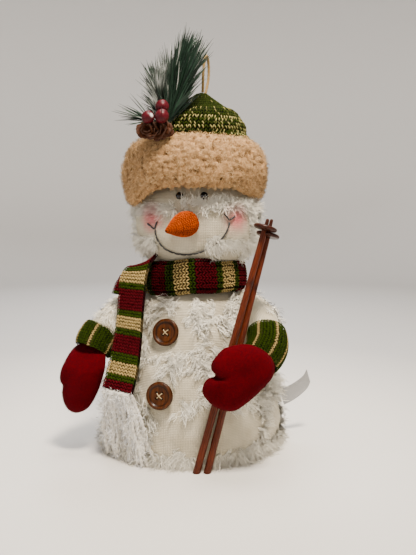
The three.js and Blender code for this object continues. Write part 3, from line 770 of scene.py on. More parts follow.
# ---------------------------------------------------------------------------------------------
# Hat crown: a tube of plain knitting in a green and cream marl, stuffed, with its peak gathered
# and tucked over. Every stitch is real: two legs of yarn that come up out of the stitch below.
# ---------------------------------------------------------------------------------------------
HAT_TURN = radians(17)
CROWN_PROFILE = [(60, 306), (64, 318), (61.5, 333), (55, 347), (45, 360), (33, 373), (22, 382.5), (10, 389),
                 (2.5, 391.5)]


def turned_z(points, angle):
    """The points turned about the Z axis."""
    return points @ np.array([[cos(angle), sin(angle), 0], [-sin(angle), cos(angle), 0], [0, 0, 1]])


def tilted_x(points, angle):
    """The points turned about the X axis."""
    return points @ np.array([[1, 0, 0], [0, cos(angle), sin(angle)], [0, -sin(angle), cos(angle)]])


def crown_grid(count, around):
    """The crown's skin: its profile spun and flattened front to back, with the peak leaning over, a rolled
    fold below the tucked peak and a long slack crease across the front."""
    reach, height = profile_curve(CROWN_PROFILE, count)
    turn = np.radians(np.linspace(0, 360, around + 1))
    grid = spun(reach[:, None], height[:, None], turn, 0.88)
    outward = unit(grid * [1, 1, 0] + [0, 0, 1e-6])
    fold = 366 + 7 * np.sin(turn + 0.6)[None, :] - grid[..., 2]
    crease = np.exp(-((grid[..., 2] - 338 - 9 * np.sin(turn + 0.3)[None, :]) / 5.5) ** 2)
    swell = 3.4 * np.tanh(fold / 2.0) * np.clip((grid[..., 2] - 345) / 12, 0, 1) - 3.2 * crease
    swell += 1.2 * waves(grid, 34, 31)
    grid = turned_z(grid + outward * (swell * np.clip(reach / 14, 0, 1)[:, None])[..., None], HAT_TURN)
    rise = np.maximum(0, grid[..., 2] - 340) / 53
    return grid + np.stack([6 + 6 * rise ** 2, 1.5 - 2 * rise ** 2, 0 * rise], -1)


rng = np.random.default_rng(31)
crown_skin = Skin(crown_grid(90, 200))
GREEN, CREAM, PINE_SHADE = dye("2b3708"), dye("8d8654"), dye("101602")
CROWN_COLUMNS, CROWN_ROWS = 80, 25
# The marl turns from one ply's colour to the other by legs and by rows, and is mostly green at the peak.
leg, row = np.arange(CROWN_COLUMNS * 2), np.arange(CROWN_ROWS)[:, None]
marl = rng.normal(0, 0.55, (CROWN_ROWS, CROWN_COLUMNS * 2))
marl += 0.55 * np.where((leg + row // 2) % 2 == 0, 1, -1)
marl += 0.45 * np.sin(row * 2.1) - 0.35
marl -= np.clip((row - 13) / 4, 0, 1) * 1.3
pick = np.clip(marl * 3 + 0.5, 0, 1)[..., None]
green = GREEN + (PINE_SHADE - GREEN) * rng.uniform(0, 0.6, pick.shape)
crown_dyes = (green * (1 - pick) + CREAM * pick).reshape(CROWN_ROWS, CROWN_COLUMNS, 2, 3)
hat_yarn = yarn_material("green and cream marled yarn", 9.0)
# The crown's backing under the stitches is the same yarn painted dark, as the shade between them.
crown_gap_shade_yarn = yarn_material("hat yarn in painted shade between the stitches", 9.0, depth=0.14)
crown_inner = crown_grid(60, 120)
crown_foot, crown_peak = (np.broadcast_to(row.mean(0), (1, *row.shape)) for row in crown_inner[[0, -1]])
crown_inner = np.concatenate([crown_foot, crown_inner, crown_peak])
crown_cloth = shell("crown_backing", crown_inner, crown_gap_shade_yarn, skin_uv(crown_inner),
                    np.broadcast_to(GREEN, crown_inner.shape))
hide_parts("hat_crown")
crown_stitches = knit("crown_stitches", crown_skin, CROWN_COLUMNS, CROWN_ROWS, crown_dyes, hat_yarn, rng,
                      skip=lambda u, v: v < 0.19)  # the lowest rows are inside the cuff

# ---------------------------------------------------------------------------------------------
# Hanging loop: a short loop of two-ply jute-coloured cotton twine, 3.2 mm thick, both ends sewn
# into the peak of the hat. It is stiff enough to stand up beside the pine.
# ---------------------------------------------------------------------------------------------
TWINE_RADIUS = 1.6
LOOP_ROUTE = [
    (13.5, -2.5, 392), (14.5, -5, 399), (15.5, -7.5, 409), (16.5, -7.5, 420), (17, -4.5, 428), (17, 1, 431),
    (17, 6.5, 428), (17, 10, 420), (16.5, 10.5, 409), (15.5, 8, 399), (14.5, 4.5, 391),
]

# Cotton twine: matt spun fibre, so the eye sees dark grooves between plies and a pale dry yarn.
twine_cotton = flecked_material("spun cotton twine", "6a5028", "b39a6a", 900.0, 3.0, bump=0.6, depth=0.0004,
                                Roughness=0.95, Specular_IOR_Level=0.1)

loop_line, loop_length = smooth_route(LOOP_ROUTE, 120)
hanging_twine = shell("hanging_twine", capped(rope(loop_line, TWINE_RADIUS, 2, 9.0)), twine_cotton)
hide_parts("hanging_loop")

# ---------------------------------------------------------------------------------------------
# Hat cuff: a fat turned-up roll of tan sherpa, a knitted pile brushed into curly knots about
# 7 mm across. It sags lower at both sides of the face, the right side most.
# ---------------------------------------------------------------------------------------------
CUFF_SECTION = [(67, -26), (73.5, -23), (77.5, -12), (78.5, 2), (76.5, 16), (71, 25), (64.5, 27), (58, 21),
                (58, 0), (60, -17)]
CUFF_AROUND, CUFF_ALONG = 560, 160
CUFF_GIRTH, CUFF_ROUND = 520, 150  # mm round the hat, and mm round the roll
CUFF_DEPTH = 0.9  # front to back against side to side
CURL_SIZE, FINE_CURL_SIZE = 7.0, 2.8


def ring_section(section, count):
    """A closed smooth curve through (radius, height) pairs, evenly spaced."""
    line, _ = smooth_route([(r, z, 0) for r, z in section + section[:3]], count * 4)
    wrap = np.argmin(np.linalg.norm(line[count:] - line[0], axis=1)) + count
    run = np.linspace(0, wrap, count + 1)
    return np.stack([np.interp(run, np.arange(len(line)), line[:, k]) for k in (0, 1)], 1)


def curls(along_u, along_v, size, period_u, period_v, seed):
    """Height from 0 to 1 of packed curly knots at places given in mm: one knot at a random point of each
    square cell, and the height falls off from the nearest knot, so that a crease parts every two."""
    rng = np.random.default_rng(seed)
    cells_u, cells_v = round(period_u / size), round(period_v / size)
    jitter = rng.uniform(0.15, 0.85, (cells_v, cells_u, 2))
    reach = rng.uniform(0.62, 0.95, (cells_v, cells_u))
    x, y = along_u / period_u * cells_u, along_v / period_v * cells_v
    i, j = np.floor(x).astype(int), np.floor(y).astype(int)
    best = np.full(x.shape, 9.0)
    for di in (-1, 0, 1):
        for dj in (-1, 0, 1):
            ci, cj = (i + di) % cells_u, (j + dj) % cells_v
            gap = np.hypot(x - i - di - jitter[cj, ci, 0], y - j - dj - jitter[cj, ci, 1]) / reach[cj, ci]
            best = np.minimum(best, gap)
    return np.clip(1 - best ** 2, 0, 1)


section = ring_section(CUFF_SECTION, CUFF_ALONG)
turn = np.radians(np.linspace(0, 360, CUFF_AROUND + 1))
droop = sum(drop * np.exp(-((np.degrees(turn) - middle) / 24) ** 2) for drop, middle in ((10, 287), (4, 68)))
low_side = np.clip((10 - section[:, 1]) / 30, 0, 1)
cuff_grid = spun(section[:, :1], section[:, 1:] - low_side[:, None] * droop, turn, CUFF_DEPTH)
outward = unit(cuff_grid - spun(67, 0, turn, CUFF_DEPTH))
edge_u, edge_v = np.meshgrid(np.linspace(0, CUFF_GIRTH, CUFF_AROUND + 1),
                             np.linspace(0, CUFF_ROUND, CUFF_ALONG + 1))
bend = 2 * pi * edge_u / CUFF_GIRTH
drift_u = edge_u + 1.2 * np.sin(edge_v * 2 * pi / 25 + 3 * np.sin(9 * bend))
drift_v = edge_v + 1.2 * np.sin(13 * bend + 2 * np.sin(edge_v * 2 * pi / 37.5))
knots = curls(drift_u, drift_v, CURL_SIZE, CUFF_GIRTH, CUFF_ROUND, 41)
fine = curls(edge_u, edge_v, FINE_CURL_SIZE, CUFF_GIRTH, CUFF_ROUND, 42)
bare = np.clip((section[:, 0] - 58) / 7, 0, 1)[:, None]
swell = (4.0 * knots ** 0.6 + 1.1 * fine - 2.8 + 1.2 * waves(cuff_grid, 40, 43)) * bare
cuff_grid = cuff_grid + outward * swell[..., None]
cuff_grid = turned_z(tilted_x(cuff_grid, radians(-10)), HAT_TURN) + [3.3, 1.2, 304]

# Sherpa: cream-tan curls, painted warm brown in the creases between them as shade, dry and without any shine.
sherpa_pile, tree, shader = new_material("tan sherpa pile", Roughness=0.95, Specular_IOR_Level=0.1)
tint = node(tree, "ShaderNodeAttribute", {"attribute_name": "tint"})
place = node(tree, "ShaderNodeTexCoord")
fleck = node(tree, "ShaderNodeTexNoise", Vector=(place, "Object"), Scale=900.0, Detail=4.0)
depth = node(tree, "ShaderNodeMath", {"operation": "MULTIPLY_ADD"}, _0=(fleck, "Fac"), _1=0.3,
             _2=(tint, "Fac"))
tone = node(tree, "ShaderNodeValToRGB", ramp=((0, "34200c"), (1, "c09668")), Fac=(depth, 0))
dent = node(tree, "ShaderNodeBump", Strength=0.5, Distance=0.0006, Height=(fleck, "Fac"))
fill_sockets(tree, shader, Base_Color=(tone, "Color"), Normal=(dent, "Normal"))
# The tint is the height of the curls, so the creases between them are painted dark as shade.
cuff = shell("sherpa_cuff", cuff_grid, sherpa_pile, tint=0.85 * knots ** 0.6 * (0.7 + 0.3 * fine))
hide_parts("hat_cuff")

rng = np.random.default_rng(44)
cuff_skin = Skin(cuff_grid)
curl_count = 16000
u = rng.uniform(0, 1, curl_count)
v = rng.uniform(0, 0.62, curl_count)
root, along_u, along_v, normal, _, _ = cuff_skin.frame(u, v)
lean = rng.uniform(0, 2 * pi, (curl_count, 1))
direction = unit(np.cos(lean) * along_u + np.sin(lean) * along_v + 0.8 * normal)
bow = unit(np.cross(direction, normal))
s = np.linspace(0, 1, 5)[None, :, None]
size = rng.uniform(2.5, 5, (curl_count, 1, 1))
line = root[:, None] + size * (0.8 * np.sin(s * 2.6) * direction[:, None]
                               + 0.35 * (1 - np.cos(s * 3.4)) * bow[:, None] + 0.1 * s * normal[:, None])
sherpa_fibre = thread_material("tan sherpa fibres", "9a6e3a", "dcb787")
tint = np.clip(rng.normal(0.6, 0.25, curl_count), 0, 1)
sherpa_curls = thread_ribbons("sherpa_curls", line, 0.42, tint, sherpa_fibre, rng, normal)

# ---------------------------------------------------------------------------------------------
# Pick: a wired sprig of plastic-foil pine needles with white flock, three waxy red berries and a
# small real cone, pushed into the right side of the hat behind the cuff.
# ---------------------------------------------------------------------------------------------
PINE_STEM = np.array([-9, -56, 352.0])


def needles(stem_line, count, reach, lean, seed):
    """Needle centre lines on a wire stem: roots along the stem, each leaning out from the stem's direction
    by lean degrees, less towards the tip, at a random turn round it, reach mm long and a little bowed."""
    rng = np.random.default_rng(seed)
    tangent, first, second = along_path(stem_line)
    at = rng.uniform(0, 1, count) ** 0.9 * (len(stem_line) - 1)
    low = at.astype(int).clip(0, len(stem_line) - 2)
    part = (at - low)[:, None]
    root = stem_line[low] * (1 - part) + stem_line[low + 1] * part
    turn = rng.uniform(0, 2 * pi, count)
    tip_share = at / (len(stem_line) - 1)
    lean_angle = np.radians(rng.uniform(*lean, count)) * (1.15 - 0.55 * tip_share)
    spoke = np.cos(turn)[:, None] * first[low] + np.sin(turn)[:, None] * second[low]
    length = rng.uniform(*reach, count)
    s = np.linspace(0, 1, 7)[None, :, None]
    ahead = np.cos(lean_angle)[:, None] * tangent[low]
    out = np.sin(lean_angle)[:, None] * spoke
    bow = rng.uniform(-0.16, 0.2, (count, 1, 1))
    sway = rng.normal(0, 0.03, (count, 1, 3))
    return root[:, None] + length[:, None, None] * (s * ahead[:, None] + (s - bow * s ** 2) * out[:, None]
                                                    + sway * s ** 2)


def needle_blades(name, lines, width, tint, material):
    """Three-sided needles along the lines, thinning to a point."""
    count, steps = lines.shape[:2]
    tangent = unit(np.gradient(lines, axis=1))
    first = unit(np.cross(tangent, [0.3, 0.5, 0.8]))
    second = np.cross(tangent, first)
    half = width / 2 * np.clip(2.2 * np.linspace(1, 0, steps) + 0.12, 0, 1)[None, :, None]
    rim = [lines + half * (cos(a) * first + sin(a) * second) for a in (0, 2 * pi / 3, 4 * pi / 3)]
    points = np.stack(rim, 2).reshape(-1, 3)
    step = (np.arange(count)[:, None] * steps + np.arange(steps - 1)).ravel() * 3
    faces = np.concatenate([np.stack([step + a, step + b, step + b + 3, step + a + 3], 1)
                            for a, b in ((0, 1), (1, 2), (2, 0))])
    return make_piece(name, points, faces, material, tint=np.repeat(tint.reshape(-1, 3), 3, 0),
                      smooth=False)


# Pine foil: dark blue-green cut plastic with a faint gloss. The red of the tint attribute is how far
# chalky white flock covers it, and the green how pale the foil is.
pine_foil, tree, shader = new_material("flocked pine foil", Roughness=0.55, Specular_IOR_Level=0.35)
tint = node(tree, "ShaderNodeAttribute", {"attribute_name": "tint"})
parts = node(tree, "ShaderNodeSeparateColor", Color=(tint, "Color"))
place = node(tree, "ShaderNodeTexCoord")
fleck = node(tree, "ShaderNodeTexNoise", Vector=(place, "Object"), Scale=260.0, Detail=2.0)
mixed = node(tree, "ShaderNodeMath", {"operation": "MULTIPLY_ADD"}, _0=(fleck, "Fac"), _1=0.4,
             _2=(parts, "Green"))
tone = node(tree, "ShaderNodeValToRGB", ramp=((0.1, "020805"), (1.0, "1c3627")), Fac=(mixed, 0))
flock = node(tree, "ShaderNodeMix", {"data_type": "RGBA"}, _0=(parts, "Red"), _6=(tone, "Color"),
             _7=linear("e8ece8"))
fill_sockets(tree, shader, Base_Color=(flock, 2))

# Each bunch: its wire, needles, their length and lean from and to, and the seed of its draws.
bunches = [
    (smooth_route([PINE_STEM, *wire], steps)[0], count, reach, lean, seed)
    for wire, steps, count, reach, lean, seed in (
        ([(-11, -50, 370), (-9, -44, 390), (-4, -38, 408)], 24, 560, (38, 55), (4, 25), 51),
        ([(-5, -48, 369), (2, -43, 389), (7, -37, 404)], 24, 560, (35, 52), (4, 25), 55),
        ([(-15, -55, 366), (-19, -56, 386)], 14, 440, (20, 36), (6, 44), 52),
        ([(-20, -63, 355), (-30, -68, 357)], 10, 36, (22, 38), (5, 62), 53))
]
FLOCK_SPOTS = [((-17, -62, 396), 5), ((-28, -62, 387), 5), ((-22, -62, 376), 5), ((-15, -56, 412), 4)]
lines = np.concatenate([needles(*bunch) for bunch in bunches])
rng = np.random.default_rng(54)
frost = np.zeros(lines.shape[:2])
for spot, spread in FLOCK_SPOTS:
    frost += 0.8 * np.exp(-(np.linalg.norm((lines - spot) * [1, 0.5, 0.8], axis=-1) / spread) ** 2)
frost = np.clip(frost * rng.uniform(0, 1.5, (len(lines), 1)), 0, 1)
streak = rng.uniform(0, 1, (len(lines), 1)) < 0.08
frost = np.maximum(frost, streak * rng.uniform(0.2, 0.5, (len(lines), 1)))
age = np.repeat(rng.uniform(0, 1, (len(lines), 1)), lines.shape[1], 1)
sprig = needle_blades("pine_needles", lines, 1.4, np.stack([frost, age, 0 * age], -1), pine_foil)
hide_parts("pine_sprig")
for index, (stem_line, *_) in enumerate(bunches):
    grid = capped(rope(stem_line, 1.3, 2, 3.0, around=10))
    stem = shell(f"pine_stem_{index}", grid, pine_foil, tint=np.full(grid.shape, [0, 0.4, 0]))

# Berries: wax-coated foam balls, a little uneven, dark red with a dull gleam, dusted white in one place.
berry_wax = flecked_material("waxed red berry", "280208", "5c0316", 260.0, 4.0, bump=0.2, dust="e9ecec",
                             Roughness=0.5, Specular_IOR_Level=0.15, Coat_Weight=0.1, Coat_Roughness=0.25)
DUSTED = np.array([-15.5, -83.5, 359.0])
for name, at, size in (("berry_top", (-10.8, -67.1, 368.6), 7.1), ("berry_middle", (-7.8, -76.6, 357.9), 7.1),
                       ("berry_side", (-21.5, -79.8, 357.1), 6.5)):
    ball = [(0, -size), (0.6 * size, -0.8 * size), (size, 0), (0.6 * size, 0.8 * size), (0, size)]
    grid = lathe(ball, (0, 0, 0), (0.2, -1, 0.35), 40, 48)
    grid = unit(grid) * (size + 0.25 * waves(grid, 9, 61))[..., None] + at
    near = np.exp(-(np.linalg.norm(grid - DUSTED, axis=-1) / 2.4) ** 4) * (waves(grid, 3, 62) > -0.5)
    berry = shell(f"{name}_wax", grid, berry_wax, tint=np.clip(near, 0, 1))
    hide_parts(name)

# Cone: open woody scales in spirals round a core, brown, paler and flocked at their lips.
CONE_AT, CONE_HALF = np.array([-18, -69.5, 345.0]), np.array([17.0, 10.0, 9.6])
cone_wood = flecked_material("woody cone scale", "140702", "5a2d12", 500.0, 5.0, bump=0.6, dust="e6e2d8",
                             Roughness=0.8, Specular_IOR_Level=0.15)
rng = np.random.default_rng(63)
scale_count = 96
k = np.arange(scale_count) + 0.5
axis_share = 1 - 2 * k / scale_count
spin = k * 2.39996  # the golden angle
cone_tip = unit(np.array([-0.42, -0.86, 0.12]))  # the tip looks forwards and to the right side
first = unit(np.cross(cone_tip, [0.0, 0, 1]))
second = np.cross(cone_tip, first)
spoke = np.cos(spin)[:, None] * first + np.sin(spin)[:, None] * second
core = axis_share[:, None] * cone_tip + np.sqrt(1 - axis_share ** 2)[:, None] * spoke
aside = np.cross(cone_tip, spoke)
# One scale is a cupped plate: two sheets of 6 rows by 7 columns, joined all round their edge.
SHEET_ROWS, SHEET_COLUMNS, SHEET_POINTS = 6, 7, 42
a, b = np.meshgrid(np.linspace(-1, 1, SHEET_COLUMNS), np.linspace(0, 1, SHEET_ROWS))
plate_up = b * np.sqrt(np.clip(1 - a ** 2 * 0.75, 0, 1))
closed = np.concatenate([
    np.stack([a * (0.45 + 0.55 * np.sin(b * 2.2)), plate_up, thick + 0.18 * b ** 3 - 0.1 * a ** 2], -1)
    for thick in (0.12, -0.12)]).reshape(-1, 3)
sheet_faces = lattice(SHEET_ROWS, SHEET_COLUMNS)
edge = np.concatenate([np.arange(7), np.arange(13, 42, 7), np.arange(40, 34, -1), np.arange(28, 0, -7)])
edge_next = np.roll(edge, -1)
plate_faces = np.concatenate([sheet_faces, sheet_faces[:, ::-1] + SHEET_POINTS,
                              np.stack([edge, edge + SHEET_POINTS, edge_next + SHEET_POINTS, edge_next], 1)])
width = 4.3 * rng.uniform(0.7, 1.25, (scale_count, 1, 1))
base = core[:, None] * (CONE_HALF - [3, 5.5, 5.5])
nose_share = np.clip(axis_share, 0, 1)[:, None]
opening = unit((1.1 - 0.7 * nose_share) * spoke + (0.25 + 0.9 * nose_share) * cone_tip
               + 0.22 * rng.normal(size=(scale_count, 3)))
lid = np.cross(aside, opening)
points = base + width * (closed[:, :1] * aside[:, None] + 1.35 * closed[:, 1:2] * opening[:, None]
                         + closed[:, 2:] * lid[:, None])
flocked = np.where(rng.uniform(0, 1, (scale_count, 1)) < 0.1, 0.7, 0.03)
frost = np.clip((closed[:, 1] - 0.7) * 4, 0, 1) * flocked
points = turned_z(points.reshape(-1, 3), HAT_TURN) + CONE_AT
faces = (plate_faces + 2 * SHEET_POINTS * np.arange(scale_count)[:, None, None]).reshape(-1, 4)
cone_scales = make_piece("cone_scales", points, faces, cone_wood, tint=frost)
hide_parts("pinecone")
core_profile = [(0, -14), (3, -11), (5, 0), (3.5, 10), (0, 14)]
core_grid = lathe(core_profile, CONE_AT, (cos(HAT_TURN), sin(HAT_TURN), 0), 20, 20)
cone_core = shell("cone_core", core_grid, cone_wood, tint=np.zeros(core_grid.shape[:2]))

# ---------------------------------------------------------------------------------------------
# Scarf: one knitted strip, drawn 9 stitches wide, striped burgundy, green, cream and green. It goes
# once round the neck and folds over itself; the long end hangs down and the short end peeks out.
# ---------------------------------------------------------------------------------------------
STRIPE_DYES = {"b": dye("4a030d"), "g": dye("2b3a08"), "c": dye("a48e5a")}
SCARF_COLUMNS, SCARF_ROW = 9, 3.3  # coarser than the real 13 stitches, so that each one shows
NECK_PLAN = ((21.5, "b"), (8.4, "g"), (15.3, "c"), (8.8, "g"))
TAIL_PLAN = ((21.5, "b"), (7, "g"), (14, "c"), (6.5, "g"))
TAIL_SIDE = unit(np.array([0.93, -0.37, 0]))
TAIL_ROUTE = [(-38, -40, 205), (-42.5, -56, 203.5), (-45.5, -66, 192), (-46, -70.5, 174), (-46, -76.5, 150),
              (-46.5, -83, 124), (-48.5, -91.5, 98), (-51.5, -100, 76.5)]
UNDER_ROUTE = [(-44, -42, 199), (-53, -55, 192), (-58, -62, 182), (-60, -66, 172)]


def stripes(along, plan, start):
    """The dye at places along a strip, in mm: the plan of (length, dye) pairs repeated from start."""
    ends = np.cumsum([length for length, _ in plan])
    colours = np.array([STRIPE_DYES[letter] for _, letter in plan])
    return colours[np.searchsorted(ends, (along - start) % ends[-1], side="right").clip(0, len(plan) - 1)]


def layers(grid, thickness):
    """A closed sheet from an open grid: the grid, and the same grid thickness mm behind it, joined along
    both long edges and pinched shut at both ends."""
    skin = Skin(grid)
    v, u = np.meshgrid(np.linspace(0, 1, grid.shape[0]), np.linspace(0, 1, grid.shape[1]), indexing="ij")
    normal = skin.frame(u, v)[3]
    back = grid - normal * thickness
    loop = np.concatenate([grid, back[:, ::-1], grid[:, :1]], 1)
    middle = (grid + back) / 2
    pinch = np.concatenate([middle, middle[:, ::-1], middle[:, :1]], 1)
    return np.concatenate([pinch[:1], loop, pinch[-1:]])


def knit_strip(name, grid, length, plan, start, rng, node_names, columns=SCARF_COLUMNS):
    """A knitted strip over an open grid whose v runs along it: a thin closed backing, painted dark as the
    shade between the stitches, and its stitches.
    """
    rows = round(length / SCARF_ROW)
    along = np.linspace(0, length, rows)
    dyes = stripes(along, plan, start)[:, None, None, :] * rng.uniform(0.85, 1.12, (rows, columns, 2, 1))
    spine = grid.mean(1, keepdims=True)
    closed = layers(spine + 0.95 * (grid - spine), 1.8)
    tone = stripes(np.linspace(0, length, closed.shape[0]), plan, start)
    uv = grid_uv(np.linspace(0, 3, closed.shape[1]), np.linspace(0, 9, closed.shape[0]))
    backing = shell(f"{name}_backing", closed, scarf_shadow, uv, np.repeat(tone[:, None], closed.shape[1], 1))
    for node_name in node_names:
        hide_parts(node_name)
    stitches = knit(f"{name}_stitches", Skin(grid), columns, rows, dyes, scarf_yarn, rng)


scarf_yarn = yarn_material("striped acrylic yarn", 11.0, strength=0.6)
# The backing is the stripe colour painted dark, as the shade between the stitches.
scarf_shadow = yarn_material("scarf yarn in painted shade between the stitches", 11.0, depth=0.16)
rng = np.random.default_rng(71)
neck_turn = np.radians(np.linspace(-62, 298, 241))
NECK_SECTION = [(44, 14.5), (50, 15), (55, 12.5), (57, 7), (58, -4), (56.6, -14), (52, -18), (47, -17)]
neck_section, neck_width = smooth_route([(r, z, 0) for r, z in NECK_SECTION], 30)
flop = 1.2 * np.sin(3 * neck_turn + 0.5) + 0.8 * np.sin(7 * neck_turn)
reach = neck_section[None, :, 0] + 0.5 * np.sin(5 * neck_turn + 1)[:, None]
neck_grid = spun(reach, neck_section[None, :, 1] + flop[:, None] * 0.6, neck_turn[:, None], 0.97)
lean = radians(-4)
neck_grid = neck_grid @ np.array([[cos(lean), 0, -sin(lean)], [0, 1, 0], [sin(lean), 0, cos(lean)]])
neck_grid = tilted_x(neck_grid, radians(-3)) + [2, 0.6, 190.5]
neck_length = 2 * pi * 57.5 * 0.985
knit_strip("scarf_band", neck_grid, neck_length, NECK_PLAN,
           neck_length * (62 - 15.5) / 360 - 21.5 + 0.5, rng, ["scarf"])


def strap_grid(route, side, widths, count, across, ruffle=0.0):
    """An open grid of a strap: it follows the route, and its width, from the first to the last of widths,
    lies along the side direction, which is one or one for each step. Its edges curl back."""
    line, length = smooth_route(route, count)
    u = np.linspace(0.5, -0.5, across)
    width = np.linspace(*widths, count)
    side = np.broadcast_to(side, line.shape)
    face = unit(np.cross(side, unit(np.gradient(line, axis=0))))
    curl = -1.6 * (2 * np.abs(u)) ** 3
    sway = ruffle * np.sin(np.linspace(0, 9, count))[:, None] * np.sin(3 * u)[None, :]
    grid = (line[:, None] + side[:, None] * (width[:, None] * u)[..., None]
            + face[:, None] * (curl + sway)[..., None])
    return grid, length


level_out = np.clip(np.linspace(0, 4.2, 100), 0, 1)[:, None] ** 0.7
tail_sides = unit(TAIL_SIDE * level_out + unit(np.array([0.8, -0.37, 0.75])) * (1 - level_out))
tail_grid, tail_length = strap_grid(TAIL_ROUTE, tail_sides, (34, 42), 100, 27, 0.8)
tail_face = unit(np.cross(TAIL_SIDE, [0, 0, -1]))
tail_grid += 2.2 * tail_face
knit_strip("scarf_tail", tail_grid, tail_length, TAIL_PLAN, 46.0, rng, [])
under_grid, under_length = strap_grid(UNDER_ROUTE, TAIL_SIDE, (28, 30), 40, 27)
under_grid += -2 * TAIL_SIDE + 5.5 * tail_face
knit_strip("scarf_under_end", under_grid, under_length, TAIL_PLAN, 18.0, rng, [])

# Fringe of the scarf: lengths of white boucle yarn looped into its end, fluffy and uneven.
FRINGE_AT = np.array([-51.6, -101, 76.0])
fringe_white = thread_material("white boucle fibres", "e8e5de", "ffffff")
boucle_wool = flecked_material("white boucle yarn", "b2ada0", "efebe2", 800.0, 3.0, bump=0.5, depth=0.0006,
                               Roughness=0.9, Specular_IOR_Level=0.1)
rng = np.random.default_rng(81)
strand_count = 38
strand_grids, strand_middles = [], []
for k in range(strand_count):
    share = (k + 0.5) / strand_count - 0.5 + rng.normal(0, 0.03)
    depth = rng.uniform(-5, 5)
    fall = 75 - 20 * rng.uniform(0, 1) ** 2 - (12 if -0.05 < share < 0.12 else 0)
    s = np.linspace(0, 1, 56)
    spread = 37 + 27 * s
    away = depth * (0.3 + s) + 9 * s ** 0.8 + 1
    place = FRINGE_AT + TAIL_SIDE * (share * spread)[:, None] + tail_face * away[:, None]
    place[:, 2] = FRINGE_AT[2] - fall * s
    place[:, 0] += 4.5 * s
    phase = rng.uniform(0, 6.3, 2)
    place[:, 0] += 1.1 * np.sin(s * rng.uniform(9, 17) + phase[0])
    place[:, 1] += 1.1 * np.sin(s * rng.uniform(9, 17) + phase[1])
    place[:, 2] = np.maximum(place[:, 2], 2.8)
    thick = rng.uniform(1.6, 2.3) * (1 + 0.22 * np.sin(s * 75 + 6 * share))
    grid = capped(rope(place, thick, 2, 6.0, around=12))
    grid[..., 2] = np.maximum(grid[..., 2], 0.3)
    strand_grids.append(grid)
    strand_middles.append(place)
strand_shape = strand_grids[0].shape[:2]
first_point = np.arange(strand_count)[:, None, None] * strand_shape[0] * strand_shape[1]
strands = make_piece("fringe_strands", np.concatenate(strand_grids).reshape(-1, 3),
                     (lattice(*strand_shape) + first_point).reshape(-1, 4), boucle_wool, merge=0.002)
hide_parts("scarf_fringe")
middles = np.concatenate(strand_middles)
hair_count = 2200
root = middles[rng.integers(0, len(middles), hair_count)] + rng.normal(0, 0.8, (hair_count, 3))
direction = unit(rng.normal(size=(hair_count, 3)) * [0.8, 0.6, 0.8] + [0, -0.2, -1.0])
facing = np.repeat(-tail_face[None], hair_count, 0)
line = thread_lines(root, direction, facing, rng.uniform(3, 8, hair_count), rng, droop=0.2, curl=0.3, hug=-9)
line[..., 2] = np.maximum(line[..., 2], 0.4)
tint = np.clip(rng.normal(0.7, 0.2, hair_count), 0, 1)
fuzz = thread_ribbons("fringe_fibres", line, 0.5, tint, fringe_white, rng, unit(facing + [0.2, -0.2, 0.5]))

# ---------------------------------------------------------------------------------------------
# Arms: stuffed tubes of the same fringed cotton, slip-stitched into the sides of the body. Each
# ends in a striped knitted cuff and a red felt mitten sewn in under it.
# ---------------------------------------------------------------------------------------------
ARM_ROUTES = {
    "right": [(-37.7, -13.6, 158), (-60, -27, 156), (-75, -43, 145), (-82, -56, 132), (-87, -66, 117)],
    "left": [(38, 5.4, 160), (61, 2, 157), (78, -9, 148), (91, -27, 135), (94.5, -43, 121)],
}
WRIST_ROUTES = {
    "right": [(-85, -57, 132), (-89.5, -64, 121.5), (-92.5, -70, 111.5)],
    "left": [(92.5, -28, 134), (95, -44, 120), (90.5, -59, 107)],
}
MITTEN_OUTLINES = {
    "right": [(26, 31), (29, 18), (25, 3), (18, -14), (7, -29), (-8, -35), (-18, -29), (-22.5, -17),
              (-20.5, -5), (-23.5, 3), (-19, 20), (-11, 35), (8, 38)],
    "left": [(-21, 20), (-10, 31), (10, 35), (27, 29), (37, 17), (36, 3), (24, -11), (10, -24), (-4, -31),
             (-20, -26), (-31.5, -12), (-28, 0), (-19, 4.5), (-23, 11)],
}
MITTEN_PLACES = {"right": ((-101, -84, 79), -8, 28), "left": ((74.5, -99.5, 98), 17, 27)}


arm_cotton = cloth_material("white cotton of the arms")
for side, seed in (("right", 91), ("left", 92)):
    rng = np.random.default_rng(seed)
    line, _ = smooth_route(ARM_ROUTES[side], 70)
    grid = tube_grid(line, 17.3, 90)
    rumple = 0.9 * waves(grid, 26, seed) + 0.3 * waves(grid, 10, seed + 5)
    grid = grid + unit(grid - line[:, None]) * rumple[..., None]
    arm = shell(f"arm_{side}_cloth", capped(grid), arm_cotton, skin_uv(capped(grid)))
    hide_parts(f"arm_{side}")
    arm_skin = Skin(grid)
    tuft_count = 420
    v = rng.uniform(0.12, 0.76, tuft_count)
    u = rng.uniform(0, 1, tuft_count)
    if side == "left":
        smooth_patch = (arm_skin.frame(u, v)[3][:, 1] < -0.35) & (v > 0.25) & (v < 0.75)
        u, v = u[~smooth_patch], v[~smooth_patch]
    span = 9.5 * rng.uniform(0.5, 1.2, len(u))
    lean = rng.normal(0, 0.6, len(u)), rng.normal(0.6, 0.5, len(u))
    arm_fringe = fringe(f"arm_{side}_fringe", arm_skin, u, v, lean, span, float_cotton, rng,
                        rise=0.4, per_tuft=6, spread=0.3, droop=0.25, tone=0.7, width=0.55)

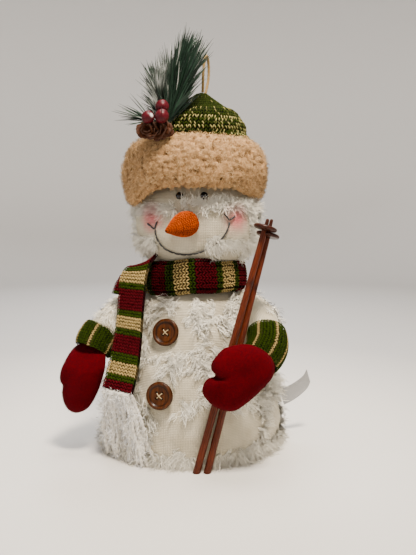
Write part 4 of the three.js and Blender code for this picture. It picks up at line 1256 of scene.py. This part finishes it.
# Wrist cuffs: green plain knitting laid sideways, so that two narrow cream stripes run down each.
WRIST_RADIUS = 20.6
WRIST_PLAN = {"right": ((19, "g"), (3.4, "c"), (18, "g"), (3.4, "c")),
              "left": ((15, "g"), (3.4, "c"), (17, "g"), (3.4, "c"))}
for side, seed in (("right", 93), ("left", 94)):
    rng = np.random.default_rng(seed)
    line, length = smooth_route(WRIST_ROUTES[side], 26)
    s = np.linspace(-1, 1, 26)
    grid = tube_grid(line, (WRIST_RADIUS - 2.2 * np.abs(s) ** 5)[:, None], 120)
    grid = grid.transpose(1, 0, 2)[:, ::-1]
    knit_strip(f"wrist_cuff_{side}", grid, 2 * pi * WRIST_RADIUS, WRIST_PLAN[side], 6.0, rng,
               [f"wrist_cuff_{side}"], columns=max(8, round(length / 2.6)))

# Red felt: dense wool with no weave, mottled between two deep reds, with a soft halo of fibres.
red_felt, tree, shader = new_material("red wool felt", Roughness=0.95, Specular_IOR_Level=0.05)
place = node(tree, "ShaderNodeTexCoord")
mat = node(tree, "ShaderNodeTexNoise", Vector=(place, "Object"), Scale=420.0, Detail=6.0, Roughness=0.7)
cloud = node(tree, "ShaderNodeTexNoise", Vector=(place, "Object"), Scale=60.0, Detail=3.0)
both = node(tree, "ShaderNodeMath", {"operation": "MULTIPLY_ADD"}, _0=(cloud, "Fac"), _1=0.35,
            _2=(mat, "Fac"))
tone = node(tree, "ShaderNodeValToRGB", ramp=((0.3, "2e0005"), (1.0, "57000b")), Fac=(both, 0))
dent = node(tree, "ShaderNodeBump", Strength=0.35, Distance=0.0006, Height=(mat, "Fac"))
fill_sockets(tree, shader, Base_Color=(tone, "Color"), Normal=(dent, "Normal"))
felt_fibre = thread_material("red felt fibres", "300002", "5c0006")
RIM_POINTS, MITTEN_ROWS = 160, 80
for side, seed in (("right", 95), ("left", 96)):
    rng = np.random.default_rng(seed)
    at, turn_degrees, thickness = MITTEN_PLACES[side]
    outline = MITTEN_OUTLINES[side]
    closed_line, _ = smooth_route([(x, y, 0) for x, y in outline + outline[:2]], 400)
    wrap = np.argmin(np.linalg.norm(closed_line[300:] - closed_line[0], axis=1)) + 300
    rim = closed_line[np.linspace(0, wrap, RIM_POINTS + 1).astype(int)]
    rim[-1] = rim[0]
    latitude = np.linspace(-pi / 2, pi / 2, MITTEN_ROWS)[:, None]
    spread = np.cos(latitude) ** 0.7
    depth = np.sin(latitude) * thickness / 2
    seam = 0.9 * np.exp(-(latitude / 0.06) ** 2)
    grid = np.stack(np.broadcast_arrays(*(rim[:, k] * (spread + seam / 30) for k in (0, 1)), depth), -1)
    fade = np.clip(np.cos(latitude) * 3, 0, 1)
    grid[..., 2] += 1.1 * waves(grid, 30, seed) * fade
    if side == "left":
        gap = np.abs(grid[..., 1] - 3.5 - 0.15 * (grid[..., 0] + 20))
        groove = 3.4 * np.exp(-(gap / 2.6) ** 2) * np.clip((-2 - grid[..., 0]) / 14, 0, 1)
        grid[..., 2] -= np.sign(grid[..., 2]) * np.minimum(groove, np.abs(grid[..., 2]) * 0.8)
    grid = turned_z(tilted_x(grid, pi / 2), radians(turn_degrees)) + at
    if side == "right":
        grid[..., 1] += 13 * np.clip((grid[..., 2] - 92) / 22, 0, 1) ** 1.5
    mitten = shell(f"mitten_{side}_felt", grid, red_felt)
    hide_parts(f"mitten_{side}")
    fuzz_count = 5000
    u, v = rng.uniform(0, 1, fuzz_count), rng.uniform(0.08, 0.92, fuzz_count)
    root, _, _, normal, _, _ = Skin(grid).frame(u, v)
    normal = normal * np.sign(np.einsum("ni,ni->n", normal, root - np.array(at)))[:, None]
    direction = unit(normal + 0.8 * rng.normal(size=root.shape))
    line = thread_lines(root, direction, normal, rng.uniform(0.7, 1.6, fuzz_count), rng, steps=3)
    tint = rng.uniform(0, 1, fuzz_count)
    fuzz = thread_ribbons(f"mitten_{side}_fuzz", line, 0.16, tint, felt_fibre, rng, normal)

# ---------------------------------------------------------------------------------------------
# Ski poles: two whittled sticks, stained red-brown, held in the left mitten. Each has a slim prong
# at its upper end, which goes through a small turned wooden basket.
# ---------------------------------------------------------------------------------------------
POLES = (("pole_1", "basket_1", (36.4, -104, 2.5), (96.2, -49, 255), 0),
         ("pole_2", "basket_2", (46.8, -100.8, 2.5), (98.4, -39, 254), 7))
POLE_AROUND, BASKET_ROWS, BASKET_AROUND = 32, 80, 64
PRONG_LENGTH = 12
BASKET_PROFILE = [(2.1, 0), (6, -0.6), (10.6, -0.2), (12.3, 1.2), (11.4, 3.4), (7, 4.2), (2.1, 3.2),
                  (2.1, 1.6), (2.1, 0)]


def wood_material(name, dark, light, grain_stretch, rough):
    """Stained wood whose grain runs along V of the UV map, in metres, darkened by the tint attribute."""
    made, tree, shader = new_material(name, Roughness=rough, Specular_IOR_Level=0.15, Coat_Weight=0.08,
                                      Coat_Roughness=0.2)
    place = node(tree, "ShaderNodeTexCoord")
    stretch = node(tree, "ShaderNodeMapping", Vector=(place, "UV"), Scale=grain_stretch)
    grain = node(tree, "ShaderNodeTexNoise", Vector=(stretch, "Vector"), Scale=1.0, Detail=6.0,
                 Roughness=0.65)
    tone = node(tree, "ShaderNodeValToRGB", ramp=((0.32, dark), (0.68, light)), Fac=(grain, "Fac"))
    tint = node(tree, "ShaderNodeAttribute", {"attribute_name": "tint"})
    colour = node(tree, "ShaderNodeMix", {"data_type": "RGBA", "blend_type": "MULTIPLY"}, _0=1.0,
                  _6=(tone, "Color"), _7=(tint, "Color"))
    dent = node(tree, "ShaderNodeBump", Strength=0.4, Distance=0.0004, Height=(grain, "Fac"))
    fill_sockets(tree, shader, Base_Color=(colour, 2), Normal=(dent, "Normal"))
    return made


pole_wood = wood_material("red-brown stained stick", "260a03", "6a2a0c", (900.0, 60.0, 1.0), 0.45)
basket_wood = wood_material("dark turned basket", "140602", "42190a", (500.0, 300.0, 1.0), 0.35)
for name, basket, foot, tip, drop in POLES:
    foot, tip = np.array(foot, float), np.array(tip, float)
    length = float(np.linalg.norm(tip - foot))
    shoulder = length - PRONG_LENGTH - drop
    profile = [(0, 0), (3.2, 0.1), (3.7, 1), (3.7, shoulder * 0.25), (3.6, shoulder * 0.5),
               (3.35, shoulder * 0.75), (3.1, shoulder - 1), (2.9, shoulder), (2.0, shoulder + 0.6),
               (1.9, shoulder + 3), (1.7, length - 1), (0, length)]
    grid = lathe(profile, foot, tip - foot, 260, POLE_AROUND)
    v = np.linalg.norm(grid.mean(1) - foot, axis=1)
    middle = grid.mean(1, keepdims=True)
    bumps = 0.12 * waves(grid * [1, 1, 0.25], 5, 101) + 0.2 * waves(middle, 60, 102)
    grid = middle + (grid - middle) * (1 + bumps / 4)[..., None]
    grid[..., 2] = np.maximum(grid[..., 2], BASE_GAP)
    turn = np.linspace(0, 2 * pi, POLE_AROUND + 1)
    knot = np.exp(-((v - 0.78 * shoulder) / 4) ** 2)[:, None] * np.clip(np.cos(turn - 1), 0, 1)
    shade = 1 - 0.65 * knot - 0.3 * np.clip((16 - v) / 16, 0, 1)[:, None] - 0.55 * (v > shoulder - 1)[:, None]
    uv = grid_uv(np.linspace(0, 25, POLE_AROUND + 1), v) * MM
    pole = shell(f"{name}_wood", grid, pole_wood, uv, np.clip(shade, 0.2, 1))
    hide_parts(name)
    at = foot + unit(tip - foot) * (shoulder + 0.6)
    grid = lathe(BASKET_PROFILE, at, tip - foot, BASKET_ROWS, BASKET_AROUND)
    uv = grid_uv(np.linspace(0, 60, BASKET_AROUND + 1), np.linspace(0, 24, BASKET_ROWS)) * MM
    ring = shell(f"{basket}_wood", grid, basket_wood, uv, np.ones(grid.shape[:2]))
    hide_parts(basket)

# ---------------------------------------------------------------------------------------------
# Buttons: two turned and dyed wooden buttons with a raised rim, a dark ring in the groove inside it,
# a darker outer edge and four holes painted dark as shade, each sewn on with a cross of natural thread.
# ---------------------------------------------------------------------------------------------
BUTTONS = (("button_upper", (-6, -75, 136.5), (-0.02, -1, 0.3)),
           ("button_lower", (-4, -101, 76), (-0.02, -1, 0.16)))
HOLE_OFFSET, HOLE_RADIUS, HOLE_DEPTH = 2.9, 1.5, 2.2
BUTTON_PROFILE = [(0, -2), (6, -2), (11.5, -2), (14, -0.5), (14.4, 1.4), (13.4, 3), (11.8, 3.15), (10.6, 2.3),
                  (9.6, 1.45), (7.5, 1.25), (5.4, 1.2), (2.6, 1.2), (0, 1.2)]
button_wood = wood_material("dyed wooden button", "1e0c00", "522802", (340.0, 60.0, 1.0), 0.4)
sewing_thread = flecked_material("natural sewing thread", "94794e", "cdb88e", 1600.0, Roughness=0.8,
                                 Sheen_Weight=0.3)
for name, at, facing in BUTTONS:
    at, facing = np.array(at, float), unit(np.array(facing, float))
    grid = lathe(BUTTON_PROFILE, at, facing, 150, 104)
    local = grid - at
    height = local @ facing
    aside = unit(np.cross([0, 0, 1.0], facing))
    above = np.cross(facing, aside)
    x, y = local @ aside, local @ above
    reach = np.hypot(x, y)
    from_hole = np.hypot(np.abs(x) - HOLE_OFFSET, np.abs(y) - HOLE_OFFSET)
    hole = np.clip((HOLE_RADIUS - from_hole) / 0.3, 0, 1) * (height > 0.5)
    grid = grid - facing * (HOLE_DEPTH * hole)[..., None]
    ring = np.exp(-((reach - 10.2) / 0.7) ** 2) * (height > 0)
    darker_edge = np.clip((reach - 13.6) / 0.8, 0, 1)
    # The holes are painted dark as shade; the ring in the groove and the outer edge are simply darker.
    shade = (1 - 0.75 * ring) * (1 - 0.9 * hole) * (1 - 0.45 * darker_edge)
    uv = np.stack([x, y], -1) * MM
    button = shell(f"{name}_wood", grid, button_wood, uv, np.clip(shade, 0.05, 1))
    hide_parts(name)
    for index, (sx, sy) in enumerate(((1, 1), (1, -1))):
        arc = np.linspace(-1, 1, 24)
        line = (at + aside * (2.6 * arc * sx)[:, None] + above * (2.6 * arc * sy)[:, None]
                + facing * (0.6 + (1.4 + 0.5 * index) * (1 - arc ** 6))[:, None])
        grid = rope(line, 0.5, 2, 2.2, around=10)
        cross = shell(f"{name}_thread_{index}", capped(grid), sewing_thread)

# ---------------------------------------------------------------------------------------------
# Care label: a bare white satin ribbon sewn into the left side seam. It stands out from the side
# and curls up at its end. Its white is painted grey, for both shade and its missing print, and its
# ribs are painted light and dark as a silky sheen.
# ---------------------------------------------------------------------------------------------
LABEL_ROUTE = [(99.5, 36.5, 43), (107, 38.5, 46.5), (116, 42, 52), (125, 46.5, 60), (129, 48.5, 68)]
satin, tree, shader = new_material("white satin ribbon", Roughness=0.35, Anisotropic=0.6, Sheen_Weight=0.2)
place = node(tree, "ShaderNodeTexCoord")
rib = node(tree, "ShaderNodeTexWave", {"bands_direction": "Y"}, Vector=(place, "UV"), Scale=60.0,
           Distortion=0.3)
# Painted shade and sheen: grey in place of white, in fine light and dark ribs.
tone = node(tree, "ShaderNodeValToRGB", ramp=((0, "76777a"), (1, "b0b0ae")), Fac=(rib, "Fac"))
fill_sockets(tree, shader, Base_Color=(tone, "Color"))
label_side = unit(np.array([-0.28, 0.05, 0.95]))
label_grid, label_length = strap_grid(LABEL_ROUTE, label_side, (19, 15), 50, 14)
label_closed = layers(label_grid, 0.5)
uv = grid_uv(np.linspace(0, 1, label_closed.shape[1]), np.linspace(0, 1, label_closed.shape[0]))
label = shell("care_label_ribbon", label_closed, satin, uv)
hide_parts("care_label")
